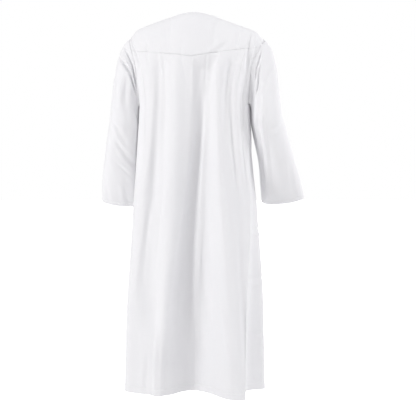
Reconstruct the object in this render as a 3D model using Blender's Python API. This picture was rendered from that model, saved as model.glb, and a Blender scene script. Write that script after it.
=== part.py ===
"""A collarless thobe robe, worn with no wearer, in metres with +Z up.

The front faces -Y and the wearer's left side is +X. The origin is the middle of the
neck, between the two points where the shoulders meet it. Every cloth piece is a thin
wall on one of two surfaces: the torso, which runs from the hem to the shoulder line,
and the sleeves, which start on the edge that the torso leaves open for each arm.
"""

import math
from collections import namedtuple

import bmesh
import bpy
from mathutils import Vector

# Driving sizes
WALL = 0.0015
SEAM_GAP = 0.0003
HEM_Z = -1.388
ARMPIT_Z = -0.328
SHOULDER_TIP_X = 0.250
SHOULDER_RIDGE_Y = -0.005
YOKE_SEAM_SIDE_Z = -0.130
YOKE_SEAM_MIDDLE_Z = -0.166
NECK_HALF_WIDTH = 0.085
NECK_ROUNDNESS = 0.75
NECK_BACK_DEPTH = 0.045
NECK_BACK_DROP = 0.008
NECK_FRONT_DEPTH = 0.080
NECK_FRONT_DROP = 0.075
BINDING_HEIGHT = 0.009
BINDING_LEAN = 1.2
PLACKET_WIDTH = 0.036
PLACKET_LENGTH = 0.30
PLACKET_UNDER_MARGIN = 0.004
BUTTON_RADIUS = 0.006
BUTTON_THICKNESS = 0.0022
BUTTON_DEPTHS = (0.05, 0.15, 0.25)

# Roundness of the rings and of the curl over the shoulders, where 2 is an ellipse, and
# how late the torso spreads to the shoulder tips
BACK_POWER = 2.6
FRONT_POWER = 2.2
SHOULDER_POWER = 2.3
SLEEVE_POWER = 2.3
SHOULDER_SPREAD = 1.6

# Where the armhole leaves the ring, in degrees from the side, and how soon it gets there
ARMHOLE_ANGLE = 30.0
ARMHOLE_TURN = 0.40

# Mesh density
BODY_ROWS = 25
BACK_ROWS_OVER_ARMPIT = 8
YOKE_ROWS = 4
FRONT_ROWS_OVER_ARMPIT = 11
BACK_COLUMNS = 40
FRONT_COLUMNS = 26
FRONT_SLOT_COLUMNS = 2
GORE_COLUMNS = 7
CAP_ROWS = 9
TUBE_ROWS = 11

# Height, half width to the wearer's left and right, y of the widest line, y of the back
# and the front, and the gores' seams in degrees from the side: at the back on the right
# and the left, and at the front
Section = namedtuple(
    "Section", "z left right middle back front right_seam left_seam front_seam"
)
SECTIONS = (
    Section(-0.328, 0.206, 0.198, 0.012, 0.112, -0.122, 12, 12, 12),
    Section(-0.508, 0.218, 0.208, 0.012, 0.110, -0.128, 20, 12, 15),
    Section(-0.688, 0.232, 0.228, 0.010, 0.107, -0.134, 31, 12, 18),
    Section(-1.038, 0.254, 0.258, 0.005, 0.101, -0.145, 45, 12, 24),
    Section(-1.388, 0.265, 0.271, 0.000, 0.095, -0.155, 49, 13, 28),
)

# The shoulder line seen from behind, from the wearer's left to the right
ShoulderPoint = namedtuple("ShoulderPoint", "x z")
SHOULDER_LINE = (
    ShoulderPoint(0.260, -0.092),
    ShoulderPoint(0.220, -0.047),
    ShoulderPoint(0.150, -0.022),
    ShoulderPoint(0.080, -0.001),
    ShoulderPoint(0.000, 0.008),
    ShoulderPoint(-0.080, -0.010),
    ShoulderPoint(-0.150, -0.038),
    ShoulderPoint(-0.220, -0.065),
    ShoulderPoint(-0.260, -0.114),
)

# Large folds of the torso. Angles are in degrees round the ring: 0 is the wearer's left
# side, 90 the middle of the back, 180 the right side and 270 the middle of the front.
# Positive depths stand out. Before and after are the reaches on the two sides, and an
# edged fold starts sharply at the right back seam instead.
Fold = namedtuple(
    "Fold",
    "name top foot at_top at_hem depth_top depth_hem"
    " before_top before_hem after_top after_hem edged",
)
FOLDS = (
    Fold("back_valley", -0.150, -2.0, 107, 90, -0.018, -0.108, 30, 26, 11, 30, False),
    Fold("valley_core", -0.150, -1.188, 99, 82, -0.006, -0.010, 8, 8, 8, 9, False),
    Fold("left_trough", -0.145, -1.208, 63, 58, -0.013, -0.013, 14, 17, 8, 11, False),
    Fold("left_ridge", -0.145, -2.0, 77, 69, 0.007, 0.009, 9, 12, 9, 12, False),
    Fold("right_ridge", -0.145, -1.338, 117, 122, 0.010, 0.012, 8, 14, 8, 12, False),
    Fold("right_trough", -0.140, -0.988, 127, 136, -0.009, -0.006, 7, 10, 7, 10, False),
    Fold("outer_ridge", -0.140, -0.688, 136, 139, 0.007, 0.004, 6, 8, 6, 8, False),
    Fold("outer_trough", -0.120, -0.538, 146, 149, -0.007, -0.004, 7, 8, 6, 7, False),
    Fold("right_lobe", -0.838, -2.0, 126, 126, 0.0, 0.014, 14, 16, 10, 11, False),
    Fold("right_recess", -0.448, -2.0, 174, 178, -0.004, -0.084, 0, 0, 20, 27, True),
    Fold("left_flare", -0.588, -2.0, 30, 30, 0.002, 0.014, 20, 26, 14, 16, False),
    Fold("front_right_valley", -0.408, -2.0, 238, 232, -0.004, -0.042, 10, 16, 10, 17, False),
    Fold("front_middle_valley", -0.488, -2.0, 266, 262, -0.002, -0.018, 8, 11, 8, 12, False),
    Fold("front_left_valley", -0.388, -2.0, 302, 308, -0.005, -0.046, 11, 17, 10, 16, False),
)
EDGED_WAY = Vector((-1.0, 0.25, 0.0))
FOLD_FADE = 0.06
EDGE_SHARPNESS = 3.0

# Middle lines of the sleeves from the upper arm to the cuff, with half sizes across and
# from back to front
SleeveRing = namedtuple("SleeveRing", "left_x right_x y left_z right_z half_width half_depth")
SLEEVE_RINGS = (
    SleeveRing(0.268, 0.265, 0.002, -0.388, -0.388, 0.056, 0.076),
    SleeveRing(0.287, 0.290, -0.018, -0.504, -0.504, 0.062, 0.070),
    SleeveRing(0.301, 0.305, -0.052, -0.607, -0.598, 0.073, 0.054),
    SleeveRing(0.308, 0.315, -0.092, -0.683, -0.671, 0.080, 0.038),
)
CAP_START_PULL = 0.60
CAP_END_PULL = 0.80
CAP_SLOPE = -0.35
UNDERARM_SLOPE = 0.30
UNDERARM_FROM = 0.3

# Folds of the sleeves. Angles run from 0 at the top of the arm through 90 at its back
# and 180 at the body's side. Start and end are places along the sleeve from 0 to 1.
SleeveFold = namedtuple("SleeveFold", "name side start end at_start at_end depth reach")
SLEEVE_FOLDS = (
    SleeveFold("left_cap", 1, 0.04, 0.38, 76, 108, -0.008, 30),
    SleeveFold("left_elbow", 1, 0.48, 0.78, 66, 116, -0.005, 34),
    SleeveFold("right_cap", -1, 0.04, 0.40, 84, 114, -0.007, 30),
    SleeveFold("right_inner", -1, 0.35, 0.95, 116, 112, -0.005, 34),
    SleeveFold("left_front", 1, 0.06, 0.40, 285, 250, -0.007, 32),
    SleeveFold("right_front", -1, 0.06, 0.42, 282, 246, -0.008, 32),
)

CLOTH_COLOUR = (0.86, 0.86, 0.88, 1.0)
BUTTON_COLOUR = (0.82, 0.81, 0.78, 1.0)

# Small steps for the surfaces' normals, and how near to an edge a share counts as on it
HEIGHT_STEP = 1e-4
ANGLE_STEP = 0.02
ON_EDGE = 1e-6


def clear_scene():
    for obj in list(bpy.data.objects):
        bpy.data.objects.remove(obj, do_unlink=True)


def material(name, colour, roughness):
    made = bpy.data.materials.new(name)
    made.use_nodes = True
    shader = made.node_tree.nodes["Principled BSDF"]
    shader.inputs["Base Color"].default_value = colour
    shader.inputs["Roughness"].default_value = roughness
    shader.inputs["Metallic"].default_value = 0.0
    return made


def smooth(value):
    value = min(max(value, 0.0), 1.0)
    return value * value * (3.0 - 2.0 * value)


def mix(start, end, share):
    return start + (end - start) * share


def curve_through(rows, place):
    """The rows' values at a place counted in rows, on a smooth curve through all of them."""
    last = len(rows) - 1
    index = min(max(int(place), 0), last - 1)
    share = place - index
    here, there = rows[index], rows[index + 1]
    before = rows[index - 1] if index > 0 else [2 * a - b for a, b in zip(here, there)]
    after = rows[index + 2] if index + 2 <= last else [2 * b - a for a, b in zip(here, there)]
    values = []
    for p0, p1, p2, p3 in zip(before, here, there, after):
        slope = (p2 - p0) * share
        bend = (2 * p0 - 5 * p1 + 4 * p2 - p3) * share**2
        turn = (3 * p1 - p0 - 3 * p2 + p3) * share**3
        values.append(p1 + 0.5 * (slope + bend + turn))
    return values


def place_in(rows, key, value):
    """Where a falling column of the rows has this value, counted in rows."""
    for index in range(len(rows) - 2):
        if value >= getattr(rows[index + 1], key):
            break
    else:
        index = len(rows) - 2
    start = getattr(rows[index], key)
    end = getattr(rows[index + 1], key)
    return index + (value - start) / (end - start)


def section_at(z):
    place = max(place_in(SECTIONS, "z", z), 0.0)
    return Section(*curve_through(SECTIONS, place))


def shoulder_z(x):
    return curve_through(SHOULDER_LINE, place_in(SHOULDER_LINE, "x", x))[1]


def rounding(cosine, sine, power):
    return (abs(cosine) ** power + abs(sine) ** power) ** (-1.0 / power)


def ring_point(angle, z):
    """A point of the plain ring, before its folds. The angle is in degrees."""
    section = section_at(z)
    cosine = math.cos(math.radians(angle))
    sine = math.sin(math.radians(angle))
    half = section.left if cosine > 0 else section.right
    depth = section.back - section.middle if sine > 0 else section.middle - section.front
    size = rounding(cosine, sine, BACK_POWER if sine > 0 else FRONT_POWER)
    return Vector((half * cosine * size, section.middle + depth * sine * size, z))


def ring_normal(angle, z):
    along = ring_point(angle + ANGLE_STEP, z) - ring_point(angle - ANGLE_STEP, z)
    return Vector((along.y, -along.x, 0.0)).normalized()


def fold_shift(angle, z, outward):
    """How the folds move a point: outwards, or sideways for an edged fold."""
    seam = 180.0 - section_at(max(z, HEM_Z)).right_seam
    shift = Vector((0.0, 0.0, 0.0))
    for fold in FOLDS:
        if z > fold.top or z < fold.foot:
            continue
        end = max(fold.foot, HEM_Z)
        share = smooth((fold.top - z) / (fold.top - end))
        at = mix(fold.at_top, fold.at_hem, share)
        depth = mix(fold.depth_top, fold.depth_hem, share)
        depth *= smooth((fold.top - z) / FOLD_FADE)
        if fold.foot > HEM_Z:
            depth *= smooth((z - fold.foot) / (2 * FOLD_FADE))
        away = angle - at
        if away < 0:
            reach = at - seam if fold.edged else mix(fold.before_top, fold.before_hem, share)
        else:
            reach = mix(fold.after_top, fold.after_hem, share)
        if abs(away) >= reach:
            continue
        if fold.edged and away < 0:
            wave = 1.0 - (abs(away) / reach) ** EDGE_SHARPNESS
        else:
            wave = math.cos(0.5 * math.pi * away / reach) ** 2
        shift += (EDGED_WAY if fold.edged else outward) * (depth * wave)
    return shift


def neck_share(x):
    return max(1.0 - (x / NECK_HALF_WIDTH) ** 2, 0.0)


def column_top(angle):
    """Where the column at this angle ends: on the shoulder line or on the neck's edge."""
    base = ring_point(angle, ARMPIT_Z)
    side = ARMHOLE_ANGLE if base.x > 0 else 180.0 - ARMHOLE_ANGLE
    widen = SHOULDER_TIP_X / abs(ring_point(side, ARMPIT_Z).x)
    x = base.x * widen
    share = neck_share(x) ** NECK_ROUNDNESS
    if angle <= 180.0:
        y = SHOULDER_RIDGE_Y + NECK_BACK_DEPTH * share
        z = shoulder_z(x) - NECK_BACK_DROP * share
    else:
        y = SHOULDER_RIDGE_Y - NECK_FRONT_DEPTH * share
        z = shoulder_z(x) - NECK_FRONT_DROP * share
    return Vector((x, y, z))


def column_height(angle, z):
    """The height from 0 to 1 above the armpit at which the column passes z."""
    share = (z - ARMPIT_Z) / (column_top(angle).z - ARMPIT_Z)
    share = min(max(share, ON_EDGE), 1.0 - ON_EDGE**2)
    steep = (share**-SHOULDER_POWER - 1.0) ** (1.0 / SHOULDER_POWER)
    return math.atan2(1.0, steep) / (0.5 * math.pi)


def torso(angle, height):
    """The torso's outside. Height is -1 at the hem, 0 at the armpit and 1 at the top."""
    if height <= 0.0:
        z = mix(ARMPIT_Z, HEM_Z, -height)
        return ring_point(angle, z) + fold_shift(angle, z, ring_normal(angle, z))
    turn = 0.5 * math.pi * height
    cosine = math.cos(turn)
    sine = math.sin(turn)
    size = rounding(cosine, sine, SHOULDER_POWER)
    base = ring_point(angle, ARMPIT_Z)
    top = column_top(angle)
    up = sine * size
    point = Vector((
        mix(base.x, top.x, up**SHOULDER_SPREAD),
        top.y + (base.y - top.y) * cosine * size,
        mix(base.z, top.z, up),
    ))
    out = ring_normal(angle, ARMPIT_Z) * cosine + Vector((0.0, 0.0, sine))
    return point + fold_shift(angle, point.z, out.normalized())


def torso_normal(angle, height):
    low = max(height - HEIGHT_STEP, -1.0)
    high = min(height + HEIGHT_STEP, 1.0)
    along = torso(angle + ANGLE_STEP, height) - torso(angle - ANGLE_STEP, height)
    up = torso(angle, high) - torso(angle, low)
    return along.cross(up).normalized()


def seam_angles(height):
    """The gore seams in degrees from the side: back left, back right and front."""
    turned = smooth(height / ARMHOLE_TURN)
    section = section_at(mix(ARMPIT_Z, HEM_Z, -min(height, 0.0)))
    seams = (section.left_seam, section.right_seam, section.front_seam)
    return [mix(seam, ARMHOLE_ANGLE, turned) for seam in seams]


def yoke_seam_height(angle):
    """The yoke's seam dips to a shallow point in the middle of the back."""
    reach = 90.0 - ARMHOLE_ANGLE
    share = min(abs(angle - 90.0) / reach, 1.0)
    return column_height(angle, mix(YOKE_SEAM_MIDDLE_Z, YOKE_SEAM_SIDE_Z, share))


def lower_and_upper(down_rows, up_rows, share, top):
    """The height at a share of a panel whose rows change at the armpit."""
    place = share * (down_rows + up_rows)
    if place <= down_rows:
        return place / down_rows - 1.0
    return top * (place - down_rows) / up_rows


def back_place(across, up):
    height = lower_and_upper(BODY_ROWS, BACK_ROWS_OVER_ARMPIT, up, 1.0)
    if height > 0.0:
        share = height
        for _ in range(3):
            left, right, _ = seam_angles(height)
            height = share * yoke_seam_height(mix(left, 180.0 - right, across))
    left, right, _ = seam_angles(height)
    return mix(left, 180.0 - right, across), height


def yoke_place(across, up):
    angle = mix(ARMHOLE_ANGLE, 180.0 - ARMHOLE_ANGLE, across)
    return angle, mix(yoke_seam_height(angle), 1.0, up)


def slot_angle(height):
    """Half the placket's width as an angle, so that its sides run straight."""
    base = ring_point(270.0 + ANGLE_STEP, ARMPIT_Z).x / ANGLE_STEP
    if height <= 0.0:
        return 0.5 * PLACKET_WIDTH / base
    widen = SHOULDER_TIP_X / ring_point(ARMHOLE_ANGLE, ARMPIT_Z).x
    turn = 0.5 * math.pi * height
    up = math.sin(turn) * rounding(math.cos(turn), math.sin(turn), SHOULDER_POWER)
    return 0.5 * PLACKET_WIDTH / (base * mix(1.0, widen, up**SHOULDER_SPREAD))


def front_place(across, up):
    height = lower_and_upper(BODY_ROWS, FRONT_ROWS_OVER_ARMPIT, up, 1.0)
    seam = seam_angles(height)[2]
    half = slot_angle(height)
    sides = (FRONT_COLUMNS - FRONT_SLOT_COLUMNS) / 2
    column = across * FRONT_COLUMNS
    if column <= sides:
        return mix(180.0 + seam, 270.0 - half, column / sides), height
    if column <= sides + FRONT_SLOT_COLUMNS:
        return mix(270.0 - half, 270.0 + half, (column - sides) / FRONT_SLOT_COLUMNS), height
    return mix(270.0 + half, 360.0 - seam, (column - sides - FRONT_SLOT_COLUMNS) / sides), height


def left_gore_place(across, up):
    height = up - 1.0
    back, _, front = seam_angles(height)
    return mix(-front, back, across), height


def right_gore_place(across, up):
    height = up - 1.0
    _, back, front = seam_angles(height)
    return mix(180.0 - back, 180.0 + front, across), height


def wall_from(name, columns, rows, outside, cloth, keep=None, wall=WALL):
    """A panel's wall: a flat grid is given a second layer and both are laid on a surface.

    outside(across, up) gives a point and its normal, with across and up from 0 to 1.
    keep(column, row) says which of the grid's faces the panel has.
    """
    mesh = bmesh.new()
    bmesh.ops.create_grid(mesh, x_segments=columns, y_segments=rows, size=0.5)
    for vertex in mesh.verts:
        vertex.co = Vector((vertex.co.x + 0.5, vertex.co.y + 0.5, 0.0))
    if keep is not None:
        dropped = []
        for face in mesh.faces:
            middle = face.calc_center_median()
            if not keep(int(middle.x * columns), int(middle.y * rows)):
                dropped.append(face)
        bmesh.ops.delete(mesh, geom=dropped, context="FACES")
    made = bmesh.ops.extrude_face_region(mesh, geom=mesh.faces[:], use_keep_orig=True)
    for item in made["geom"]:
        if isinstance(item, bmesh.types.BMVert):
            item.co.z = 1.0
    for vertex in mesh.verts:
        point, normal = outside(vertex.co.x, vertex.co.y)
        vertex.co = point - normal * (wall * vertex.co.z)
    return finish(name, mesh, cloth)


def finish(name, mesh, cloth):
    bmesh.ops.recalc_face_normals(mesh, faces=mesh.faces[:])
    data = bpy.data.meshes.new(name)
    mesh.to_mesh(data)
    mesh.free()
    obj = bpy.data.objects.new(name, data)
    obj.data.materials.append(cloth)
    bpy.context.scene.collection.objects.link(obj)
    return obj


def on_torso(place, columns, rows, drop=0.0, gap_ends=(True, True)):
    """The outside of a panel on the torso, with its edges pulled back for the seam gaps."""

    def outside(across, up):
        angle, height = place(across, up)
        point = torso(angle, height) - torso_normal(angle, height) * drop
        shift = Vector((0.0, 0.0, 0.0))
        if across < ON_EDGE or across > 1.0 - ON_EDGE:
            inner = 1.0 / columns if across < 0.5 else 1.0 - 1.0 / columns
            shift += (torso(*place(inner, up)) - torso(angle, height)).normalized()
        if (up < ON_EDGE and gap_ends[0]) or (up > 1.0 - ON_EDGE and gap_ends[1]):
            inner = 1.0 / rows if up < 0.5 else 1.0 - 1.0 / rows
            shift += (torso(*place(across, inner)) - torso(angle, height)).normalized()
        return point + shift * (0.5 * SEAM_GAP), torso_normal(angle, height)

    return outside


def back_panel(cloth):
    rows = BODY_ROWS + BACK_ROWS_OVER_ARMPIT
    outside = on_torso(back_place, BACK_COLUMNS, rows, gap_ends=(False, True))
    return wall_from("back_panel", BACK_COLUMNS, rows, outside, cloth)


def back_yoke(cloth):
    outside = on_torso(yoke_place, BACK_COLUMNS, YOKE_ROWS)
    return wall_from("back_yoke", BACK_COLUMNS, YOKE_ROWS, outside, cloth)


def slot_first_row():
    """The lowest row of the front's grid that the placket's slot takes away."""
    rows = BODY_ROWS + FRONT_ROWS_OVER_ARMPIT
    foot = torso(270.0, 1.0).z - PLACKET_LENGTH
    for row in range(rows):
        if torso(*front_place(0.5, row / rows)).z >= foot:
            return row
    return rows


def front_panel(cloth):
    rows = BODY_ROWS + FRONT_ROWS_OVER_ARMPIT
    sides = (FRONT_COLUMNS - FRONT_SLOT_COLUMNS) // 2
    first = slot_first_row()

    def keep(column, row):
        return not (sides <= column < sides + FRONT_SLOT_COLUMNS and row >= first)

    outside = on_torso(front_place, FRONT_COLUMNS, rows, gap_ends=(False, True))
    return wall_from("front_panel", FRONT_COLUMNS, rows, outside, cloth, keep=keep)


def placket_place(margin):
    """Places on the slot, from its foot to the neck, keeping a margin at its sides."""
    rows = BODY_ROWS + FRONT_ROWS_OVER_ARMPIT
    first = slot_first_row() / rows

    def place(across, up):
        angle, height = front_place(0.5, mix(first, 1.0, up))
        half = slot_angle(height) * (1.0 - 2.0 * margin / PLACKET_WIDTH)
        return angle + half * (2.0 * across - 1.0), height

    return place


def plackets(cloth):
    rows = BODY_ROWS + FRONT_ROWS_OVER_ARMPIT - slot_first_row()
    columns = FRONT_SLOT_COLUMNS
    over = on_torso(placket_place(SEAM_GAP), columns, rows)
    wall_from("placket_over", columns, rows, over, cloth)
    under = on_torso(placket_place(PLACKET_UNDER_MARGIN), columns, rows, drop=WALL + SEAM_GAP)
    wall_from("placket_under", columns, rows, under, cloth)


def gores(cloth):
    for name, place in (("left", left_gore_place), ("right", right_gore_place)):
        outside = on_torso(place, GORE_COLUMNS, BODY_ROWS, gap_ends=(False, True))
        wall_from("side_gore_" + name, GORE_COLUMNS, BODY_ROWS, outside, cloth)


def closed_band(name, rings, cloth):
    """A solid through closed rings of points: the last ring is joined back to the first."""
    mesh = bmesh.new()
    count = len(rings[0])
    start = bmesh.ops.create_circle(mesh, segments=count, radius=1.0)["verts"]
    for vertex, point in zip(start, rings[0]):
        vertex.co = point
    first_edges = mesh.edges[:]
    edges = first_edges
    ordered = start
    for ring in rings[1:]:
        made = bmesh.ops.extrude_edge_only(mesh, edges=edges)["geom"]
        edges = [item for item in made if isinstance(item, bmesh.types.BMEdge)]
        fresh = {item for item in made if isinstance(item, bmesh.types.BMVert)}
        edges = [edge for edge in edges if edge.verts[0] in fresh and edge.verts[1] in fresh]
        following = []
        for vertex in ordered:
            for edge in vertex.link_edges:
                other = edge.other_vert(vertex)
                if other in fresh:
                    following.append(other)
                    break
        for vertex, point in zip(following, ring):
            vertex.co = point
        ordered = following
    bmesh.ops.bridge_loops(mesh, edges=first_edges + edges)
    return finish(name, mesh, cloth)


def armhole_loop(side):
    """The armhole's edge from the shoulder tip down the back and up the front.

    Each entry is a point, the torso's normal and the direction that leaves the torso.
    """
    back_end, front_end = (0.0, 1.0) if side > 0 else (1.0, 0.0)
    places = []
    for row in range(YOKE_ROWS):
        places.append(yoke_place(back_end, 1.0 - row / YOKE_ROWS))
    body = BODY_ROWS + BACK_ROWS_OVER_ARMPIT
    for row in range(BACK_ROWS_OVER_ARMPIT):
        places.append(back_place(back_end, 1.0 - row / body))
    for column in range(GORE_COLUMNS):
        if side > 0:
            places.append(left_gore_place(1.0 - column / GORE_COLUMNS, 1.0))
        else:
            places.append(right_gore_place(column / GORE_COLUMNS, 1.0))
    body = BODY_ROWS + FRONT_ROWS_OVER_ARMPIT
    for row in range(FRONT_ROWS_OVER_ARMPIT):
        places.append(front_place(front_end, (BODY_ROWS + row) / body))
    points = [torso(angle % 360.0, height) for angle, height in places]
    loop = []
    count = len(points)
    for index, (angle, height) in enumerate(places):
        normal = torso_normal(angle % 360.0, height)
        along = points[(index + 1) % count] - points[index - 1]
        leave = along.cross(normal).normalized() * side
        loop.append((points[index], normal, leave))
    return loop


def loop_angles(points):
    """Angles round the sleeve for the armhole's points, from 0 at the shoulder tip."""
    count = len(points)
    lowest = min(range(count), key=lambda index: points[index].z + abs(points[index].y))
    walked = [0.0]
    for index in range(count):
        walked.append(walked[-1] + (points[(index + 1) % count] - points[index]).length)
    angles = []
    for index in range(count):
        if index <= lowest:
            angles.append(180.0 * walked[index] / walked[lowest])
        else:
            share = (walked[index] - walked[lowest]) / (walked[count] - walked[lowest])
            angles.append(180.0 + 180.0 * share)
    return angles


def sleeve_middle(side, place):
    values = SleeveRing(*curve_through(SLEEVE_RINGS, place))
    x = values.left_x if side > 0 else -values.right_x
    z = values.left_z if side > 0 else values.right_z
    return Vector((x, values.y, z)), values.half_width, values.half_depth


def sleeve_tube(side, angle, place):
    """A point of the sleeve below the cap. The place is counted in rows of the table."""
    middle, half_width, half_depth = sleeve_middle(side, place)
    ahead = sleeve_middle(side, min(place + 0.05, len(SLEEVE_RINGS) - 1))[0]
    behind = sleeve_middle(side, max(place - 0.05, 0.0))[0]
    down = (ahead - behind).normalized()
    outward = Vector((side, 0.0, 0.0))
    outward = (outward - down * outward.dot(down)).normalized()
    backward = down.cross(outward) * -side
    cosine = math.cos(math.radians(angle))
    sine = math.sin(math.radians(angle))
    size = rounding(cosine, sine, SLEEVE_POWER)
    point = middle + outward * (half_width * cosine * size)
    return point + backward * (half_depth * sine * size), down


def sleeve_fold_depth(side, angle, along):
    total = 0.0
    for fold in SLEEVE_FOLDS:
        if fold.side != side or not fold.start < along < fold.end:
            continue
        share = (along - fold.start) / (fold.end - fold.start)
        away = (angle - mix(fold.at_start, fold.at_end, share) + 180.0) % 360.0 - 180.0
        if abs(away) < fold.reach:
            wave = math.cos(0.5 * math.pi * away / fold.reach) ** 2
            total += fold.depth * wave * math.sin(math.pi * share) ** 2
    return total


def sleeve_rings(side):
    """The outside of a sleeve as rings of points, from the armhole to the cuff."""
    loop = armhole_loop(side)
    angles = loop_angles([entry[0] for entry in loop])
    rings = []
    for row in range(CAP_ROWS):
        share = row / CAP_ROWS
        ring = []
        for (point, _, leave), angle in zip(loop, angles):
            start = point + leave * SEAM_GAP
            end, down = sleeve_tube(side, angle, 0.0)
            reach = (end - start).length
            facing_in = -math.cos(math.radians(angle))
            under = smooth((facing_in - UNDERARM_FROM) / (1.0 - UNDERARM_FROM))
            slope = mix(CAP_SLOPE, UNDERARM_SLOPE, under)
            leaving = Vector((side, 0.0, slope)).normalized() * (CAP_START_PULL * reach)
            arriving = down * (CAP_END_PULL * reach)
            square = share * share
            cube = square * share
            spot = start * (2 * cube - 3 * square + 1) + end * (3 * square - 2 * cube)
            spot += leaving * (cube - 2 * square + share) + arriving * (cube - square)
            ring.append(spot)
        rings.append(ring)
    for row in range(TUBE_ROWS + 1):
        place = (len(SLEEVE_RINGS) - 1) * row / TUBE_ROWS
        rings.append([sleeve_tube(side, angle, place)[0] for angle in angles])
    return loop, angles, rings


def ring_normals(rings, side, first):
    """Normals of the sleeve's rings, with the torso's own normals on the first ring."""
    count = len(rings[0])
    normals = [first]
    for row in range(1, len(rings)):
        following = rings[min(row + 1, len(rings) - 1)]
        found = []
        for index in range(count):
            round_it = rings[row][(index + 1) % count] - rings[row][index - 1]
            along = following[index] - rings[row - 1][index]
            found.append(along.cross(round_it).normalized() * side)
        normals.append(found)
    return normals


def sleeve(name, side, cloth):
    loop, angles, rings = sleeve_rings(side)
    first = [entry[1] for entry in loop]
    normals = ring_normals(rings, side, first)
    last = len(rings) - 1
    outer = [rings[0]]
    for row in range(1, last + 1):
        ring = []
        for index, angle in enumerate(angles):
            depth = sleeve_fold_depth(side, angle, row / last)
            ring.append(rings[row][index] + normals[row][index] * depth)
        outer.append(ring)
    normals = ring_normals(outer, side, first)
    inner = []
    for ring, directions in zip(outer, normals):
        inner.append([point - normal * WALL for point, normal in zip(ring, directions)])
    return closed_band(name, outer + inner[::-1], cloth)


def sleeves(cloth):
    sleeve("sleeve_left", 1, cloth)
    sleeve("sleeve_right", -1, cloth)


def neck_edge():
    """The neck's edge as angles round the torso, the same ones that the panels end on."""
    angles = []
    for column in range(BACK_COLUMNS + 1):
        angle = yoke_place(column / BACK_COLUMNS, 1.0)[0]
        if abs(column_top(angle).x) < NECK_HALF_WIDTH:
            angles.append(angle)
    for column in range(FRONT_COLUMNS + 1):
        angle = front_place(column / FRONT_COLUMNS, 1.0)[0]
        if abs(column_top(angle).x) < NECK_HALF_WIDTH:
            angles.append(angle)
    return angles


def neck_binding(cloth):
    """A narrow band that stands on the neck's edge and leans a little inwards."""
    middle = Vector((0.0, SHOULDER_RIDGE_Y, 0.0))
    rings = [[], [], [], []]
    for angle in neck_edge():
        edge = torso(angle, 1.0)
        inwards = middle - edge
        inwards.z = 0.0
        inwards.normalize()
        rise = (Vector((0.0, 0.0, 1.0)) + inwards * BINDING_LEAN).normalized()
        low = edge + rise * SEAM_GAP + inwards * SEAM_GAP
        high = low + rise * BINDING_HEIGHT
        rings[0].append(low)
        rings[1].append(high)
        rings[2].append(high + inwards * WALL)
        rings[3].append(low + inwards * WALL)
    return closed_band("neck_binding", rings, cloth)


def buttons(plastic):
    top = torso(270.0, 1.0).z
    for number, depth in enumerate(BUTTON_DEPTHS, start=1):
        height = column_height(270.0, top - depth)
        if top - depth < ARMPIT_Z:
            height = (top - depth - ARMPIT_Z) / (ARMPIT_Z - HEM_Z)
        normal = torso_normal(270.0, height)
        mesh = bmesh.new()
        bmesh.ops.create_cone(
            mesh,
            cap_ends=True,
            segments=16,
            radius1=BUTTON_RADIUS,
            radius2=BUTTON_RADIUS,
            depth=BUTTON_THICKNESS,
        )
        button = finish("button_%d" % number, mesh, plastic)
        button.rotation_mode = "QUATERNION"
        button.rotation_quaternion = Vector((0.0, 0.0, 1.0)).rotation_difference(normal)
        clear = 0.5 * BUTTON_THICKNESS + SEAM_GAP
        button.location = torso(270.0, height) + normal * clear


def build():
    clear_scene()
    cloth = material("thobe_cloth", CLOTH_COLOUR, 0.85)
    plastic = material("button_plastic", BUTTON_COLOUR, 0.35)
    back_panel(cloth)
    back_yoke(cloth)
    front_panel(cloth)
    gores(cloth)
    sleeves(cloth)
    neck_binding(cloth)
    plackets(cloth)
    buttons(plastic)


build()
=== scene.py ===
import math
from collections import namedtuple

import bmesh
import bpy
import numpy
from mathutils import Matrix, Vector, noise


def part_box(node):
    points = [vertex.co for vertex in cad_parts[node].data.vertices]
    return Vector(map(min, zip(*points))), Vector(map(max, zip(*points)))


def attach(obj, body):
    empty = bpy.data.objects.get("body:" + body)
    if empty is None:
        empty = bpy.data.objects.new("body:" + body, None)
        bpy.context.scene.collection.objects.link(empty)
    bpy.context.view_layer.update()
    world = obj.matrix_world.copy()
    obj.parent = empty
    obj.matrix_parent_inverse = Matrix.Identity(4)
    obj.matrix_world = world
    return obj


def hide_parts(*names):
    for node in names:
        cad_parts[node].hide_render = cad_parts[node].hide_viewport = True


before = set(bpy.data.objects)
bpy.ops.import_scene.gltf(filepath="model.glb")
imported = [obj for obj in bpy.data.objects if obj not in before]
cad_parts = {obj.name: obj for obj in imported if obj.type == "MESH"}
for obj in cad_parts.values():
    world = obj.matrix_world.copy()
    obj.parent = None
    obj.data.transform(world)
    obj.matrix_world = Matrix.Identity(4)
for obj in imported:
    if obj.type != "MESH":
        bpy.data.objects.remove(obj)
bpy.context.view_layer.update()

# Sizes of the robe, the same ones that the frame is built from
WALL = 0.0015
SEAM_GAP = 0.0003
HEM_Z = -1.388
ARMPIT_Z = -0.328
SHOULDER_TIP_X = 0.250
SHOULDER_RIDGE_Y = -0.005
YOKE_SEAM_SIDE_Z = -0.130
YOKE_SEAM_MIDDLE_Z = -0.166
NECK_HALF_WIDTH = 0.085
NECK_ROUNDNESS = 0.75
NECK_BACK_DEPTH = 0.045
NECK_BACK_DROP = 0.008
NECK_FRONT_DEPTH = 0.080
NECK_FRONT_DROP = 0.075
BINDING_HEIGHT = 0.009
BINDING_LEAN = 1.2
PLACKET_WIDTH = 0.036
PLACKET_LENGTH = 0.30
PLACKET_UNDER_MARGIN = 0.004
BUTTON_RADIUS = 0.006
BUTTON_THICKNESS = 0.0022
BACK_POWER = 2.6
FRONT_POWER = 2.2
SHOULDER_POWER = 2.3
SLEEVE_POWER = 2.3
SHOULDER_SPREAD = 1.6
ARMHOLE_ANGLE = 30.0
ARMHOLE_TURN = 0.40
EDGED_WAY = numpy.array([-1.0, 0.25, 0.0])
FOLD_FADE = 0.06
EDGE_SHARPNESS = 3.0

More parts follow.
